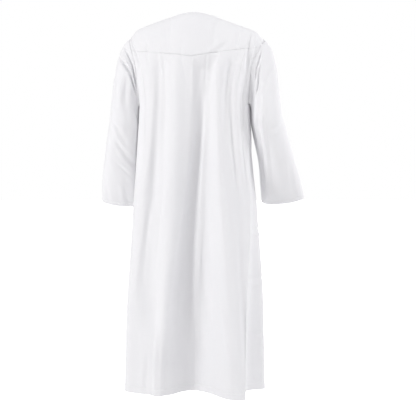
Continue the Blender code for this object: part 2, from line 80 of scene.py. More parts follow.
# How the frame's rows and columns are shared out, which sets where its panels end
BODY_SHARE = 25
BACK_SHARE_OVER_ARMPIT = 8
FRONT_SHARE_OVER_ARMPIT = 11
FRONT_COLUMN_SHARE = 26
FRONT_SLOT_SHARE = 2

# The frame's rings, shoulder line and large folds
Section = namedtuple(
    "Section", "z left right middle back front right_seam left_seam front_seam"
)
SECTIONS = (
    Section(-0.328, 0.206, 0.198, 0.012, 0.112, -0.122, 12, 12, 12),
    Section(-0.508, 0.218, 0.208, 0.012, 0.110, -0.128, 20, 12, 15),
    Section(-0.688, 0.232, 0.228, 0.010, 0.107, -0.134, 31, 12, 18),
    Section(-1.038, 0.254, 0.258, 0.005, 0.101, -0.145, 45, 12, 24),
    Section(-1.388, 0.265, 0.271, 0.000, 0.095, -0.155, 49, 13, 28),
)
ShoulderPoint = namedtuple("ShoulderPoint", "x z")
SHOULDER_LINE = (
    ShoulderPoint(0.260, -0.092),
    ShoulderPoint(0.220, -0.047),
    ShoulderPoint(0.150, -0.022),
    ShoulderPoint(0.080, -0.001),
    ShoulderPoint(0.000, 0.008),
    ShoulderPoint(-0.080, -0.010),
    ShoulderPoint(-0.150, -0.038),
    ShoulderPoint(-0.220, -0.065),
    ShoulderPoint(-0.260, -0.114),
)
Fold = namedtuple(
    "Fold",
    "name top foot at_top at_hem depth_top depth_hem"
    " before_top before_hem after_top after_hem edged",
)
FOLDS = (
    Fold("back_valley", -0.150, -2.0, 107, 90, -0.018, -0.108, 30, 26, 11, 30, False),
    Fold("valley_core", -0.150, -1.188, 99, 82, -0.006, -0.010, 8, 8, 8, 9, False),
    Fold("left_trough", -0.145, -1.208, 63, 58, -0.013, -0.013, 14, 17, 8, 11, False),
    Fold("left_ridge", -0.145, -2.0, 77, 69, 0.007, 0.009, 9, 12, 9, 12, False),
    Fold("right_ridge", -0.145, -1.338, 117, 122, 0.010, 0.012, 8, 14, 8, 12, False),
    Fold("right_trough", -0.140, -0.988, 127, 136, -0.009, -0.006, 7, 10, 7, 10, False),
    Fold("outer_ridge", -0.140, -0.688, 136, 139, 0.007, 0.004, 6, 8, 6, 8, False),
    Fold("outer_trough", -0.120, -0.538, 146, 149, -0.007, -0.004, 7, 8, 6, 7, False),
    Fold("right_lobe", -0.838, -2.0, 126, 126, 0.0, 0.014, 14, 16, 10, 11, False),
    Fold("right_recess", -0.448, -2.0, 174, 178, -0.004, -0.084, 0, 0, 20, 27, True),
    Fold("left_flare", -0.588, -2.0, 30, 30, 0.002, 0.014, 20, 26, 14, 16, False),
    Fold("front_right_valley", -0.408, -2.0, 238, 232, -0.004, -0.042, 10, 16, 10, 17, False),
    Fold("front_middle_valley", -0.488, -2.0, 266, 262, -0.002, -0.018, 8, 11, 8, 12, False),
    Fold("front_left_valley", -0.388, -2.0, 302, 308, -0.005, -0.046, 11, 17, 10, 16, False),
)
SleeveRing = namedtuple("SleeveRing", "left_x right_x y left_z right_z half_width half_depth")
SLEEVE_RINGS = (
    SleeveRing(0.268, 0.265, 0.002, -0.388, -0.388, 0.056, 0.076),
    SleeveRing(0.287, 0.290, -0.018, -0.504, -0.504, 0.062, 0.070),
    SleeveRing(0.301, 0.305, -0.052, -0.607, -0.598, 0.073, 0.054),
    SleeveRing(0.308, 0.315, -0.092, -0.683, -0.671, 0.080, 0.038),
)
CAP_SHARE = 0.45
CAP_START_PULL = 0.60
CAP_END_PULL = 0.80
CAP_SLOPE = -0.35
UNDERARM_SLOPE = 0.30
UNDERARM_FROM = 0.3
SleeveFold = namedtuple("SleeveFold", "name side start end at_start at_end depth reach")
SLEEVE_FOLDS = (
    SleeveFold("left_cap", 1, 0.04, 0.38, 76, 108, -0.008, 30),
    SleeveFold("left_elbow", 1, 0.48, 0.78, 66, 116, -0.005, 34),
    SleeveFold("right_cap", -1, 0.04, 0.40, 84, 114, -0.007, 30),
    SleeveFold("right_inner", -1, 0.35, 0.95, 116, 112, -0.005, 34),
    SleeveFold("left_front", 1, 0.06, 0.40, 285, 250, -0.007, 32),
    SleeveFold("right_front", -1, 0.06, 0.42, 282, 246, -0.008, 32),
)

# Soft creases of the torso, pressed and hung into the cloth. Each runs from one place to
# another, given as degrees round the robe and metres of height. Reach is how far it
# spreads to each side and depth how far it stands out, both in metres.
Crease = namedtuple("Crease", "panels at_start z_start at_end z_end reach depth")
METRES_PER_DEGREE = 0.0042
CREASES = (
    # Back, under the yoke
    Crease("back", 41, -0.10, 44, -0.60, 0.012, 0.0030),
    Crease("back", 52, -0.09, 50, -0.21, 0.009, -0.0024),
    Crease("back", 63, -0.12, 63, -0.27, 0.010, 0.0022),
    Crease("back", 76, -0.13, 78, -0.34, 0.014, 0.0012),
    Crease("back", 80, -0.09, 86, -0.28, 0.013, -0.0018),
    Crease("back", 92, -0.14, 93, -0.34, 0.014, 0.0020),
    Crease("back", 105, -0.13, 104, -0.29, 0.008, -0.0022),
    Crease("back", 116, -0.12, 116, -0.33, 0.009, 0.0024),
    Crease("back", 125, -0.05, 133, -0.20, 0.010, -0.0026),
    Crease("back", 137, -0.12, 138, -0.28, 0.008, 0.0022),
    Crease("back", 147, -0.20, 151, -0.72, 0.011, 0.0034),
    Crease("back", 31, -0.04, 42, -0.22, 0.010, -0.0042),
    Crease("back", 61, -0.10, 57, -0.80, 0.022, -0.0050),
    Crease("back", 58, -0.38, 53, -1.22, 0.045, -0.0100),
    Crease("back", 131, -0.08, 132, -0.75, 0.022, 0.0060),
    Crease("back", 113, -0.10, 75, -1.50, 0.034, -0.0150),
    Crease("back", 103, -0.50, 97, -1.80, 0.062, 0.0190),
    # Across the yoke
    Crease("back", 101, -0.164, 118, -0.100, 0.015, 0.0036),
    Crease("back", 108, -0.164, 122, -0.108, 0.013, -0.0028),
    Crease("yoke", 66, -0.030, 74, -0.170, 0.016, -0.0012),
    Crease("yoke", 40, -0.075, 58, -0.118, 0.010, 0.0020),
    Crease("back", 136, -0.060, 146, -0.230, 0.009, -0.0056),
    Crease("back", 141, -0.065, 150, -0.240, 0.008, 0.0046),
    # Back, from the waist to the hem
    Crease("back", 55, -0.62, 44, -1.10, 0.022, -0.0030),
    Crease("back", 63, -1.13, 64, -1.52, 0.015, 0.0075),
    Crease("back", 71, -1.16, 72, -1.54, 0.021, -0.0080),
    Crease("back", 55, -1.20, 54, -1.50, 0.020, -0.0030),
    Crease("back", 120, -0.40, 124, -0.95, 0.018, -0.0030),
    Crease("back", 112, -0.95, 122, -1.30, 0.022, 0.0030),
    Crease("back", 134, -0.70, 138, -1.46, 0.020, -0.0035),
    Crease("back", 100, -0.85, 108, -1.25, 0.020, -0.0028),
    Crease("back", 72, -0.55, 62, -1.05, 0.020, 0.0026),
    Crease("gore", 180, -0.26, 180, -0.56, 0.040, 0.0030),
    Crease("gore", 0, -0.26, 0, -0.66, 0.040, 0.0030),
    # Right gore, where it was pressed flat
    Crease("gore", 150, -0.765, 215, -0.780, 0.007, -0.0020),
    Crease("gore", 150, -0.785, 215, -0.800, 0.009, 0.0020),
    Crease("gore", 150, -0.955, 215, -0.962, 0.008, -0.0024),
    Crease("gore", 150, -0.976, 215, -0.986, 0.010, 0.0018),
    Crease("gore", 150, -1.160, 215, -1.172, 0.007, -0.0026),
    Crease("gore", 150, -1.335, 215, -1.342, 0.006, -0.0016),
    # Left gore
    Crease("gore", -30, -0.742, 30, -0.730, 0.008, -0.0020),
    Crease("gore", -30, -0.984, 40, -0.968, 0.009, -0.0024),
    Crease("gore", -30, -1.196, 48, -1.180, 0.008, -0.0022),
    Crease("gore", 18, -0.62, 12, -1.20, 0.018, -0.0030),
    # Front, hidden in the photograph and plainly finished
    Crease("front", 214, -0.12, 226, -0.46, 0.014, -0.0040),
    Crease("front", 222, -0.20, 236, -0.72, 0.018, 0.0036),
    Crease("front", 326, -0.14, 316, -0.44, 0.013, -0.0042),
    Crease("front", 317, -0.24, 305, -0.78, 0.018, 0.0034),
    Crease("front", 284, -0.40, 288, -0.98, 0.020, 0.0040),
    Crease("front", 254, -0.44, 250, -1.12, 0.020, 0.0036),
    Crease("front", 270, -0.46, 276, -0.74, 0.013, -0.0026),
    Crease("front", 262, -0.90, 266, -1.50, 0.019, -0.0040),
    Crease("front", 294, -0.98, 296, -1.50, 0.022, 0.0050),
    Crease("front", 244, -1.02, 243, -1.50, 0.021, 0.0044),
    Crease("front", 206, -0.42, 216, -0.96, 0.016, -0.0030),
    Crease("front", 336, -0.46, 328, -0.90, 0.016, -0.0030),
)

# Creases of the sleeves. Angles run from 0 at the top of the arm through 90 at its back
# and 180 at the body's side, and along runs from the armhole at 0 to the cuff at 1.
SleeveCrease = namedtuple("SleeveCrease", "side at_start start at_end end reach depth")
SLEEVE_METRES_PER_DEGREE = 0.0012
SLEEVE_LENGTH = 0.62
SLEEVE_CREASES = (
    # Left, from the shoulder to the cuff
    SleeveCrease(1, 2, 0.15, 150, 0.05, 0.012, -0.0120),
    SleeveCrease(1, 4, 0.07, 140, 0.025, 0.009, -0.0100),
    SleeveCrease(1, 4, 0.11, 146, 0.038, 0.008, 0.0045),
    SleeveCrease(1, 18, 0.22, 74, 0.36, 0.016, -0.0034),
    SleeveCrease(1, 52, 0.42, 128, 0.58, 0.018, -0.0040),
    SleeveCrease(1, 70, 0.53, 162, 0.70, 0.018, -0.0070),
    SleeveCrease(1, 66, 0.61, 140, 0.73, 0.012, 0.0016),
    SleeveCrease(1, 92, 0.66, 160, 0.80, 0.012, -0.0016),
    SleeveCrease(1, 40, 0.70, 58, 1.04, 0.016, -0.0030),
    SleeveCrease(1, 100, 0.76, 96, 1.06, 0.018, 0.0030),
    SleeveCrease(1, 130, 0.14, 134, 1.20, 0.040, 0.0080),
    SleeveCrease(1, 164, -0.02, 162, 0.72, 0.038, 0.0070),
    SleeveCrease(1, 210, 0.10, 282, 0.18, 0.012, -0.0044),
    SleeveCrease(1, 220, 0.52, 300, 0.62, 0.011, -0.0048),
    SleeveCrease(1, 232, 0.60, 318, 0.66, 0.010, 0.0030),
    SleeveCrease(1, 214, 0.66, 286, 0.80, 0.012, -0.0036),
    SleeveCrease(1, 300, 0.28, 322, 0.60, 0.016, -0.0026),
    # Right, from the shoulder to the cuff
    SleeveCrease(-1, 30, 0.03, 106, 0.10, 0.009, -0.0080),
    SleeveCrease(-1, 50, 0.08, 128, 0.19, 0.010, -0.0060),
    SleeveCrease(-1, 20, 0.15, 90, 0.26, 0.015, -0.0026),
    SleeveCrease(-1, 78, 0.14, 128, 1.10, 0.020, 0.0060),
    SleeveCrease(-1, 104, 0.20, 150, 0.96, 0.020, -0.0080),
    SleeveCrease(-1, 176, -0.04, 176, 0.76, 0.038, 0.0080),
    SleeveCrease(-1, 10, 0.48, 96, 0.50, 0.006, -0.0018),
    SleeveCrease(-1, 14, 0.51, 100, 0.53, 0.008, 0.0014),
    SleeveCrease(-1, 36, 0.62, 54, 1.02, 0.018, -0.0024),
    SleeveCrease(-1, 214, 0.12, 288, 0.20, 0.012, -0.0040),
    SleeveCrease(-1, 216, 0.48, 296, 0.58, 0.011, -0.0044),
    SleeveCrease(-1, 228, 0.58, 310, 0.64, 0.010, 0.0030),
    SleeveCrease(-1, 222, 0.68, 284, 0.78, 0.011, -0.0030),
    SleeveCrease(-1, 306, 0.30, 318, 0.66, 0.016, -0.0026),
)

# Finish of the edges: how deep the seams sink, how far up the hems are stitched, and how
# far from an edge the creases and the unevenness die away
SEAM_SINK = 0.0002
SEAM_SOFTNESS = 0.0028
HEM_TURN = 0.025
CUFF_TURN = 0.016
TURN_THICKNESS = 0.0006
PUCKER_DEPTH = 0.0005
PUCKER_LENGTH = 0.021
CREASE_FADE = 0.34
CREASE_SAG = 0.10
MERGE_DISTANCE = 1e-5
GROOVE_WIDTH = 0.0016
TURN_SOFTNESS = 0.003
PUCKER_SPREAD = 0.014
EDGE_CALM = 0.012
RUMPLE_CALM = 0.01

# Slight unevenness of hanging cloth
RUMPLE_DEPTH = 0.0011
CRUMPLE_DEPTH = 0.00022

# Sewing thread
STITCH_SPACING = 0.0036
STITCH_LENGTH = 0.0027
STITCH_RADIUS = 0.00032
STITCH_INSET = 0.0030
TRIM_STITCH_INSET = 0.0022
PLACKET_CROSS_STITCH = 0.030
BINDING_GRID = (180, 24)
BUTTON_HOLE_SPREAD = 0.0013
BUTTON_HOLE_RADIUS = 0.00062
BUTTON_THREAD_RADIUS = 0.0004

# Light, floor and camera
WORLD_STRENGTH = 0.53
FLOOR_Z = -1.58
FLOOR_RADIUS = 30.0
LIGHT_AIM = (0.0, 0.0, -0.6)
FLOOR_GLOW = 0.9
Lamp = namedtuple("Lamp", "name place size watts colour")
LIGHTS = (
    Lamp("key_light", (2.5, 2.2, 0.3), (1.0, 1.6), 50.0, (1.0, 0.995, 0.985)),
    Lamp("top_light", (-1.4, 1.0, 2.3), (1.4, 1.4), 28.0, (1.0, 1.0, 1.0)),
    Lamp("right_light", (-2.9, 0.2, 0.0), (1.2, 1.8), 22.0, (1.0, 1.0, 1.0)),
    Lamp("front_light", (-1.2, -3.0, 0.8), (2.0, 2.0), 36.0, (1.0, 1.0, 1.0)),
)
CAMERA_PLACE = (-0.4341, 2.462, -0.60)
CAMERA_AIM = (-0.044, -0.0049, -0.705)
CAMERA_LENS = 58.41

# Mesh density
BACK_GRID = (160, 231)
YOKE_GRID = (160, 48)
FRONT_GRID = (104, 216)
GORE_GRID = (30, 190)
SLEEVE_GRID = (150, 170)
PLACKET_GRID = (18, 120)

HEIGHT_STEP = 1e-4
ANGLE_STEP = 0.02
ON_EDGE = 1e-6


# Small sums
def smooth(value):
    value = numpy.clip(value, 0.0, 1.0)
    return value * value * (3.0 - 2.0 * value)


def mix(start, end, share):
    return start + (end - start) * share


def unit(vectors):
    length = numpy.linalg.norm(vectors, axis=-1, keepdims=True)
    return vectors / numpy.maximum(length, 1e-12)


def joined(x, y, z):
    x, y, z = numpy.broadcast_arrays(x, y, z)
    return numpy.stack([x, y, z], axis=-1).astype(float)


def numbers_of(rows):
    return numpy.array([list(row) for row in rows], dtype=float)


def curve_through(rows, place):
    """The rows' values at places counted in rows, on a smooth curve through all of them."""
    place = numpy.asarray(place, dtype=float)
    last = len(rows) - 1
    index = numpy.clip(place.astype(int), 0, last - 1)
    share = (place - index)[..., None]
    longer = numpy.vstack([2 * rows[0] - rows[1], rows, 2 * rows[-1] - rows[-2]])
    p0 = longer[index]
    p1 = longer[index + 1]
    p2 = longer[index + 2]
    p3 = longer[index + 3]
    slope = (p2 - p0) * share
    bend = (2 * p0 - 5 * p1 + 4 * p2 - p3) * share**2
    turn = (3 * p1 - p0 - 3 * p2 + p3) * share**3
    return p1 + 0.5 * (slope + bend + turn)


SECTION_ROWS = numbers_of(SECTIONS)
SHOULDER_ROWS = numbers_of(SHOULDER_LINE)
SLEEVE_ROWS = numbers_of(SLEEVE_RINGS)


def section_at(z):
    """The ring's sizes at each height, with the table's columns in the last axis."""
    count = numpy.arange(len(SECTION_ROWS))
    return curve_through(SECTION_ROWS, numpy.interp(-z, -SECTION_ROWS[:, 0], count))


def shoulder_z(x):
    count = numpy.arange(len(SHOULDER_ROWS))
    return curve_through(SHOULDER_ROWS, numpy.interp(-x, -SHOULDER_ROWS[:, 0], count))[..., 1]


def rounding(cosine, sine, power):
    return (numpy.abs(cosine) ** power + numpy.abs(sine) ** power) ** (-1.0 / power)


# The torso's surface, as in the frame
def ring_point(angle, z):
    angle, z = numpy.broadcast_arrays(numpy.asarray(angle, float), numpy.asarray(z, float))
    section = section_at(z)
    middle = section[..., 3]
    cosine = numpy.cos(numpy.radians(angle))
    sine = numpy.sin(numpy.radians(angle))
    half = numpy.where(cosine > 0, section[..., 1], section[..., 2])
    depth = numpy.where(sine > 0, section[..., 4] - middle, middle - section[..., 5])
    size = rounding(cosine, sine, numpy.where(sine > 0, BACK_POWER, FRONT_POWER))
    return joined(half * cosine * size, middle + depth * sine * size, z)


def ring_normal(angle, z):
    along = ring_point(angle + ANGLE_STEP, z) - ring_point(angle - ANGLE_STEP, z)
    return unit(joined(along[..., 1], -along[..., 0], 0.0))


def fold_shift(angle, z, outward):
    """How the large folds move each point: outwards, or sideways for an edged fold."""
    seam = 180.0 - section_at(numpy.maximum(z, HEM_Z))[..., 6]
    shift = numpy.zeros(outward.shape)
    for fold in FOLDS:
        share = smooth((fold.top - z) / (fold.top - max(fold.foot, HEM_Z)))
        depth = mix(fold.depth_top, fold.depth_hem, share) * smooth((fold.top - z) / FOLD_FADE)
        if fold.foot > HEM_Z:
            depth = depth * smooth((z - fold.foot) / (2 * FOLD_FADE))
        at = mix(fold.at_top, fold.at_hem, share)
        away = angle - at
        before = at - seam if fold.edged else mix(fold.before_top, fold.before_hem, share)
        after = mix(fold.after_top, fold.after_hem, share)
        part = numpy.clip(numpy.abs(away) / numpy.where(away < 0, before, after), 0.0, 1.0)
        wave = numpy.cos(0.5 * math.pi * part) ** 2
        if fold.edged:
            wave = numpy.where(away < 0, 1.0 - part**EDGE_SHARPNESS, wave)
        way = EDGED_WAY if fold.edged else outward
        shift = shift + way * (depth * wave)[..., None]
    return shift


def column_top(angle):
    """Where the column at each angle ends: on the shoulder line or on the neck's edge."""
    base = ring_point(angle, ARMPIT_Z)[..., 0]
    tip_left = SHOULDER_TIP_X / ring_point(ARMHOLE_ANGLE, ARMPIT_Z)[0]
    tip_right = SHOULDER_TIP_X / -ring_point(180.0 - ARMHOLE_ANGLE, ARMPIT_Z)[0]
    x = base * numpy.where(base > 0, tip_left, tip_right)
    share = numpy.maximum(1.0 - (x / NECK_HALF_WIDTH) ** 2, 0.0) ** NECK_ROUNDNESS
    behind = numpy.asarray(angle) <= 180.0
    depth = numpy.where(behind, NECK_BACK_DEPTH, -NECK_FRONT_DEPTH)
    drop = numpy.where(behind, NECK_BACK_DROP, NECK_FRONT_DROP)
    return joined(x, SHOULDER_RIDGE_Y + depth * share, shoulder_z(x) - drop * share)


def column_height(angle, z):
    """The height from 0 to 1 above the armpit at which each column passes z."""
    share = (z - ARMPIT_Z) / (column_top(angle)[..., 2] - ARMPIT_Z)
    share = numpy.clip(share, ON_EDGE, 1.0 - ON_EDGE**2)
    steep = (share**-SHOULDER_POWER - 1.0) ** (1.0 / SHOULDER_POWER)
    return numpy.arctan2(1.0, steep) / (0.5 * math.pi)


def torso(angle, height):
    """The torso's outside. Height is -1 at the hem, 0 at the armpit and 1 at the top."""
    angle, height = numpy.broadcast_arrays(
        numpy.asarray(angle, float), numpy.asarray(height, float)
    )
    low_z = mix(ARMPIT_Z, HEM_Z, -numpy.minimum(height, 0.0))
    low = ring_point(angle, low_z) + fold_shift(angle, low_z, ring_normal(angle, low_z))
    turn = 0.5 * math.pi * numpy.maximum(height, 0.0)
    cosine = numpy.cos(turn)
    sine = numpy.sin(turn)
    size = rounding(cosine, sine, SHOULDER_POWER)
    up = sine * size
    base = ring_point(angle, ARMPIT_Z)
    top = column_top(angle)
    point = joined(
        mix(base[..., 0], top[..., 0], up**SHOULDER_SPREAD),
        top[..., 1] + (base[..., 1] - top[..., 1]) * cosine * size,
        mix(base[..., 2], top[..., 2], up),
    )
    out = ring_normal(angle, ARMPIT_Z) * cosine[..., None] + joined(0.0, 0.0, sine)
    high = point + fold_shift(angle, point[..., 2], unit(out))
    return numpy.where((height <= 0.0)[..., None], low, high)


def torso_normal(angle, height):
    low = numpy.maximum(height - HEIGHT_STEP, -1.0)
    high = numpy.minimum(height + HEIGHT_STEP, 1.0)
    along = torso(angle + ANGLE_STEP, height) - torso(angle - ANGLE_STEP, height)
    return unit(numpy.cross(along, torso(angle, high) - torso(angle, low)))


# The places of the panels on the torso
def seam_angles(height):
    """The gore seams in degrees from the side: back left, back right and front."""
    turned = smooth(height / ARMHOLE_TURN)
    section = section_at(mix(ARMPIT_Z, HEM_Z, -numpy.minimum(height, 0.0)))
    return [mix(section[..., column], ARMHOLE_ANGLE, turned) for column in (7, 6, 8)]


def yoke_seam_height(angle):
    share = numpy.minimum(numpy.abs(angle - 90.0) / (90.0 - ARMHOLE_ANGLE), 1.0)
    return column_height(angle, mix(YOKE_SEAM_MIDDLE_Z, YOKE_SEAM_SIDE_Z, share))


def lower_and_upper(over_armpit, share):
    place = share * (BODY_SHARE + over_armpit)
    above = (place - BODY_SHARE) / over_armpit
    return numpy.where(place <= BODY_SHARE, place / BODY_SHARE - 1.0, above)


def back_place(across, up):
    share = lower_and_upper(BACK_SHARE_OVER_ARMPIT, up)
    height = share
    for _ in range(3):
        left, right, _ = seam_angles(height)
        top = yoke_seam_height(mix(left, 180.0 - right, across))
        height = numpy.where(share > 0.0, share * top, share)
    left, right, _ = seam_angles(height)
    return mix(left, 180.0 - right, across), height


def yoke_place(across, up):
    angle = mix(ARMHOLE_ANGLE, 180.0 - ARMHOLE_ANGLE, across)
    return angle, mix(yoke_seam_height(angle), 1.0, up)


def slot_angle(height):
    """Half the placket's width as an angle, so that its sides run straight."""
    base = ring_point(270.0 + ANGLE_STEP, ARMPIT_Z)[0] / ANGLE_STEP
    widen = SHOULDER_TIP_X / ring_point(ARMHOLE_ANGLE, ARMPIT_Z)[0]
    turn = 0.5 * math.pi * numpy.maximum(height, 0.0)
    up = numpy.sin(turn) * rounding(numpy.cos(turn), numpy.sin(turn), SHOULDER_POWER)
    return 0.5 * PLACKET_WIDTH / (base * mix(1.0, widen, up**SHOULDER_SPREAD))


def front_place(across, up):
    height = lower_and_upper(FRONT_SHARE_OVER_ARMPIT, up)
    seam = seam_angles(height)[2]
    half = slot_angle(height)
    sides = (FRONT_COLUMN_SHARE - FRONT_SLOT_SHARE) / 2
    column = across * FRONT_COLUMN_SHARE
    right = mix(180.0 + seam, 270.0 - half, column / sides)
    slot = mix(270.0 - half, 270.0 + half, (column - sides) / FRONT_SLOT_SHARE)
    left = mix(270.0 + half, 360.0 - seam, (column - sides - FRONT_SLOT_SHARE) / sides)
    angle = numpy.where(column <= sides, right, slot)
    return numpy.where(column > sides + FRONT_SLOT_SHARE, left, angle), height


def left_gore_place(across, up):
    height = up - 1.0
    back, _, front = seam_angles(height)
    return mix(-front, back, across), height


def right_gore_place(across, up):
    height = up - 1.0
    _, back, front = seam_angles(height)
    return mix(180.0 - back, 180.0 + front, across), height


def slot_first_share():
    """How far up the front panel the placket's slot starts."""
    rows = BODY_SHARE + FRONT_SHARE_OVER_ARMPIT
    foot = torso(270.0, 1.0)[2] - PLACKET_LENGTH
    for row in range(rows):
        if torso(*front_place(0.5, row / rows))[2] >= foot:
            return row / rows
    return 1.0


def placket_place(margin):
    first = slot_first_share()

    def place(across, up):
        angle, height = front_place(0.5, mix(first, 1.0, up))
        half = slot_angle(height) * (1.0 - 2.0 * margin / PLACKET_WIDTH)
        return angle + half * (2.0 * across - 1.0), height

    return place


# Materials
def socket(group, name, kind, way, value=None):
    made = group.interface.new_socket(name=name, in_out=way, socket_type=kind)
    if value is not None:
        made.default_value = value
    return made


def plain_weave_group():
    """Warp and weft that go over and under each other, on a map in metres."""
    group = bpy.data.node_groups.new("plain_weave", "ShaderNodeTree")
    socket(group, "Vector", "NodeSocketVector", "INPUT")
    socket(group, "Threads", "NodeSocketFloat", "INPUT", 3200.0)
    socket(group, "Height", "NodeSocketFloat", "OUTPUT")
    socket(group, "Slub", "NodeSocketFloat", "OUTPUT")
    nodes = group.nodes
    links = group.links
    inside = nodes.new("NodeGroupInput")
    outside = nodes.new("NodeGroupOutput")
    scaled = nodes.new("ShaderNodeVectorMath")
    scaled.operation = "SCALE"
    links.new(inside.outputs["Vector"], scaled.inputs[0])
    links.new(inside.outputs["Threads"], scaled.inputs["Scale"])
    parts = nodes.new("ShaderNodeSeparateXYZ")
    links.new(scaled.outputs["Vector"], parts.inputs[0])
    waves = []
    for axis in ("X", "Y"):
        sine = nodes.new("ShaderNodeMath")
        sine.operation = "SINE"
        links.new(parts.outputs[axis], sine.inputs[0])
        waves.append(sine)
    product = nodes.new("ShaderNodeMath")
    product.operation = "MULTIPLY"
    links.new(waves[0].outputs[0], product.inputs[0])
    links.new(waves[1].outputs[0], product.inputs[1])
    links.new(product.outputs[0], outside.inputs["Height"])
    streaks = []
    for stretch in ((26.0, 900.0, 1.0), (900.0, 26.0, 1.0)):
        place = nodes.new("ShaderNodeMapping")
        place.inputs["Scale"].default_value = stretch
        links.new(inside.outputs["Vector"], place.inputs["Vector"])
        grain = nodes.new("ShaderNodeTexNoise")
        grain.inputs["Scale"].default_value = 1.0
        grain.inputs["Detail"].default_value = 2.0
        links.new(place.outputs[0], grain.inputs["Vector"])
        streaks.append(grain)
    added = nodes.new("ShaderNodeMath")
    added.operation = "ADD"
    links.new(streaks[0].outputs["Fac"], added.inputs[0])
    links.new(streaks[1].outputs["Fac"], added.inputs[1])
    halved = nodes.new("ShaderNodeMath")
    halved.operation = "MULTIPLY"
    halved.inputs[1].default_value = 0.5
    links.new(added.outputs[0], halved.inputs[0])
    links.new(halved.outputs[0], outside.inputs["Slub"])
    return group


def set_inputs(node, values):
    for name, value in values.items():
        node.inputs[name].default_value = value


def new_finish(name, values):
    """A material, its nodes and links, and its shader with the given values."""
    made = bpy.data.materials.new(name)
    made.use_nodes = True
    shader = made.node_tree.nodes["Principled BSDF"]
    set_inputs(shader, values)
    return made, made.node_tree.nodes, made.node_tree.links, shader


def noise_on(nodes, links, vector, values):
    texture = nodes.new("ShaderNodeTexNoise")
    set_inputs(texture, values)
    links.new(vector, texture.inputs["Vector"])
    return texture.outputs["Fac"]


def woven_on(nodes, links, vector, weave, threads):
    woven = nodes.new("ShaderNodeGroup")
    woven.node_tree = weave
    woven.inputs["Threads"].default_value = threads
    links.new(vector, woven.inputs["Vector"])
    return woven


def between(nodes, links, share, first, second):
    """A colour that runs from one tone to another."""
    shade = nodes.new("ShaderNodeMix")
    shade.data_type = "RGBA"
    set_inputs(shade, {"A": (*first, 1.0), "B": (*second, 1.0)})
    links.new(share, shade.inputs["Factor"])
    return shade.outputs["Result"]


def bumped(nodes, links, height, strength, distance):
    bump = nodes.new("ShaderNodeBump")
    set_inputs(bump, {"Strength": strength, "Distance": distance})
    links.new(height, bump.inputs["Height"])
    return bump


def thobe_cloth(weave):
    """White cotton and polyester cloth, matt with a faint sheen and slightly uneven yarn."""
    made, nodes, links, shader = new_finish("thobe_cloth", {
        "Roughness": 0.84,
        "Specular IOR Level": 0.25,
        "Sheen Weight": 0.12,
        "Sheen Roughness": 0.45,
    })
    place = nodes.new("ShaderNodeUVMap")
    place.uv_map = "cloth"
    woven = woven_on(nodes, links, place.outputs["UV"], weave, 5200.0)
    where = nodes.new("ShaderNodeTexCoord").outputs["Object"]
    cloud = noise_on(nodes, links, where, {"Scale": 5.0, "Detail": 3.0})
    shade = between(nodes, links, cloud, (0.835, 0.835, 0.855), (0.875, 0.875, 0.885))
    yarn = nodes.new("ShaderNodeMix")
    yarn.data_type = "RGBA"
    yarn.blend_type = "MULTIPLY"
    yarn.inputs["Factor"].default_value = 0.22
    links.new(shade, yarn.inputs["A"])
    tone = nodes.new("ShaderNodeValToRGB")
    dark, pale = tone.color_ramp.elements
    dark.position = 0.30
    dark.color = (0.86, 0.86, 0.88, 1.0)
    pale.position = 0.62
    pale.color = (1.0, 1.0, 1.0, 1.0)
    links.new(woven.outputs["Slub"], tone.inputs["Fac"])
    links.new(tone.outputs["Color"], yarn.inputs["B"])
    links.new(yarn.outputs["Result"], shader.inputs["Base Color"])
    threads = bumped(nodes, links, woven.outputs["Height"], 0.35, 0.00012)
    crumple = noise_on(nodes, links, where, {"Scale": 38.0, "Detail": 4.0, "Roughness": 0.55})
    softly = bumped(nodes, links, crumple, 0.35, 0.0012)
    links.new(threads.outputs["Normal"], softly.inputs["Normal"])
    links.new(softly.outputs["Normal"], shader.inputs["Normal"])
    return made


def sewing_thread(weave):
    """Twisted white thread, a little brighter and glossier than the cloth."""
    made, nodes, links, shader = new_finish(
        "sewing_thread", {"Roughness": 0.55, "Sheen Weight": 0.2}
    )
    where = nodes.new("ShaderNodeTexCoord").outputs["Object"]
    twist = woven_on(nodes, links, where, weave, 9000.0)
    shade = between(nodes, links, twist.outputs["Slub"], (0.78, 0.78, 0.79), (0.92, 0.92, 0.92))
    links.new(shade, shader.inputs["Base Color"])
    bump = bumped(nodes, links, twist.outputs["Height"], 0.4, 0.0001)
    links.new(bump.outputs["Normal"], shader.inputs["Normal"])
    return made


def button_shell():
    """Pearly off-white button plastic with faint clouds."""
    made, nodes, links, shader = new_finish(
        "button_shell", {"Coat Weight": 0.35, "Coat Roughness": 0.12}
    )
    where = nodes.new("ShaderNodeTexCoord").outputs["Object"]
    swirl = noise_on(nodes, links, where, {"Scale": 180.0, "Detail": 3.0, "Distortion": 1.6})
    shade = between(nodes, links, swirl, (0.74, 0.72, 0.68), (0.88, 0.87, 0.85))
    links.new(shade, shader.inputs["Base Color"])
    gloss = nodes.new("ShaderNodeMapRange")
    set_inputs(gloss, {"To Min": 0.22, "To Max": 0.40})
    links.new(swirl, gloss.inputs["Value"])
    links.new(gloss.outputs["Result"], shader.inputs["Roughness"])
    return made


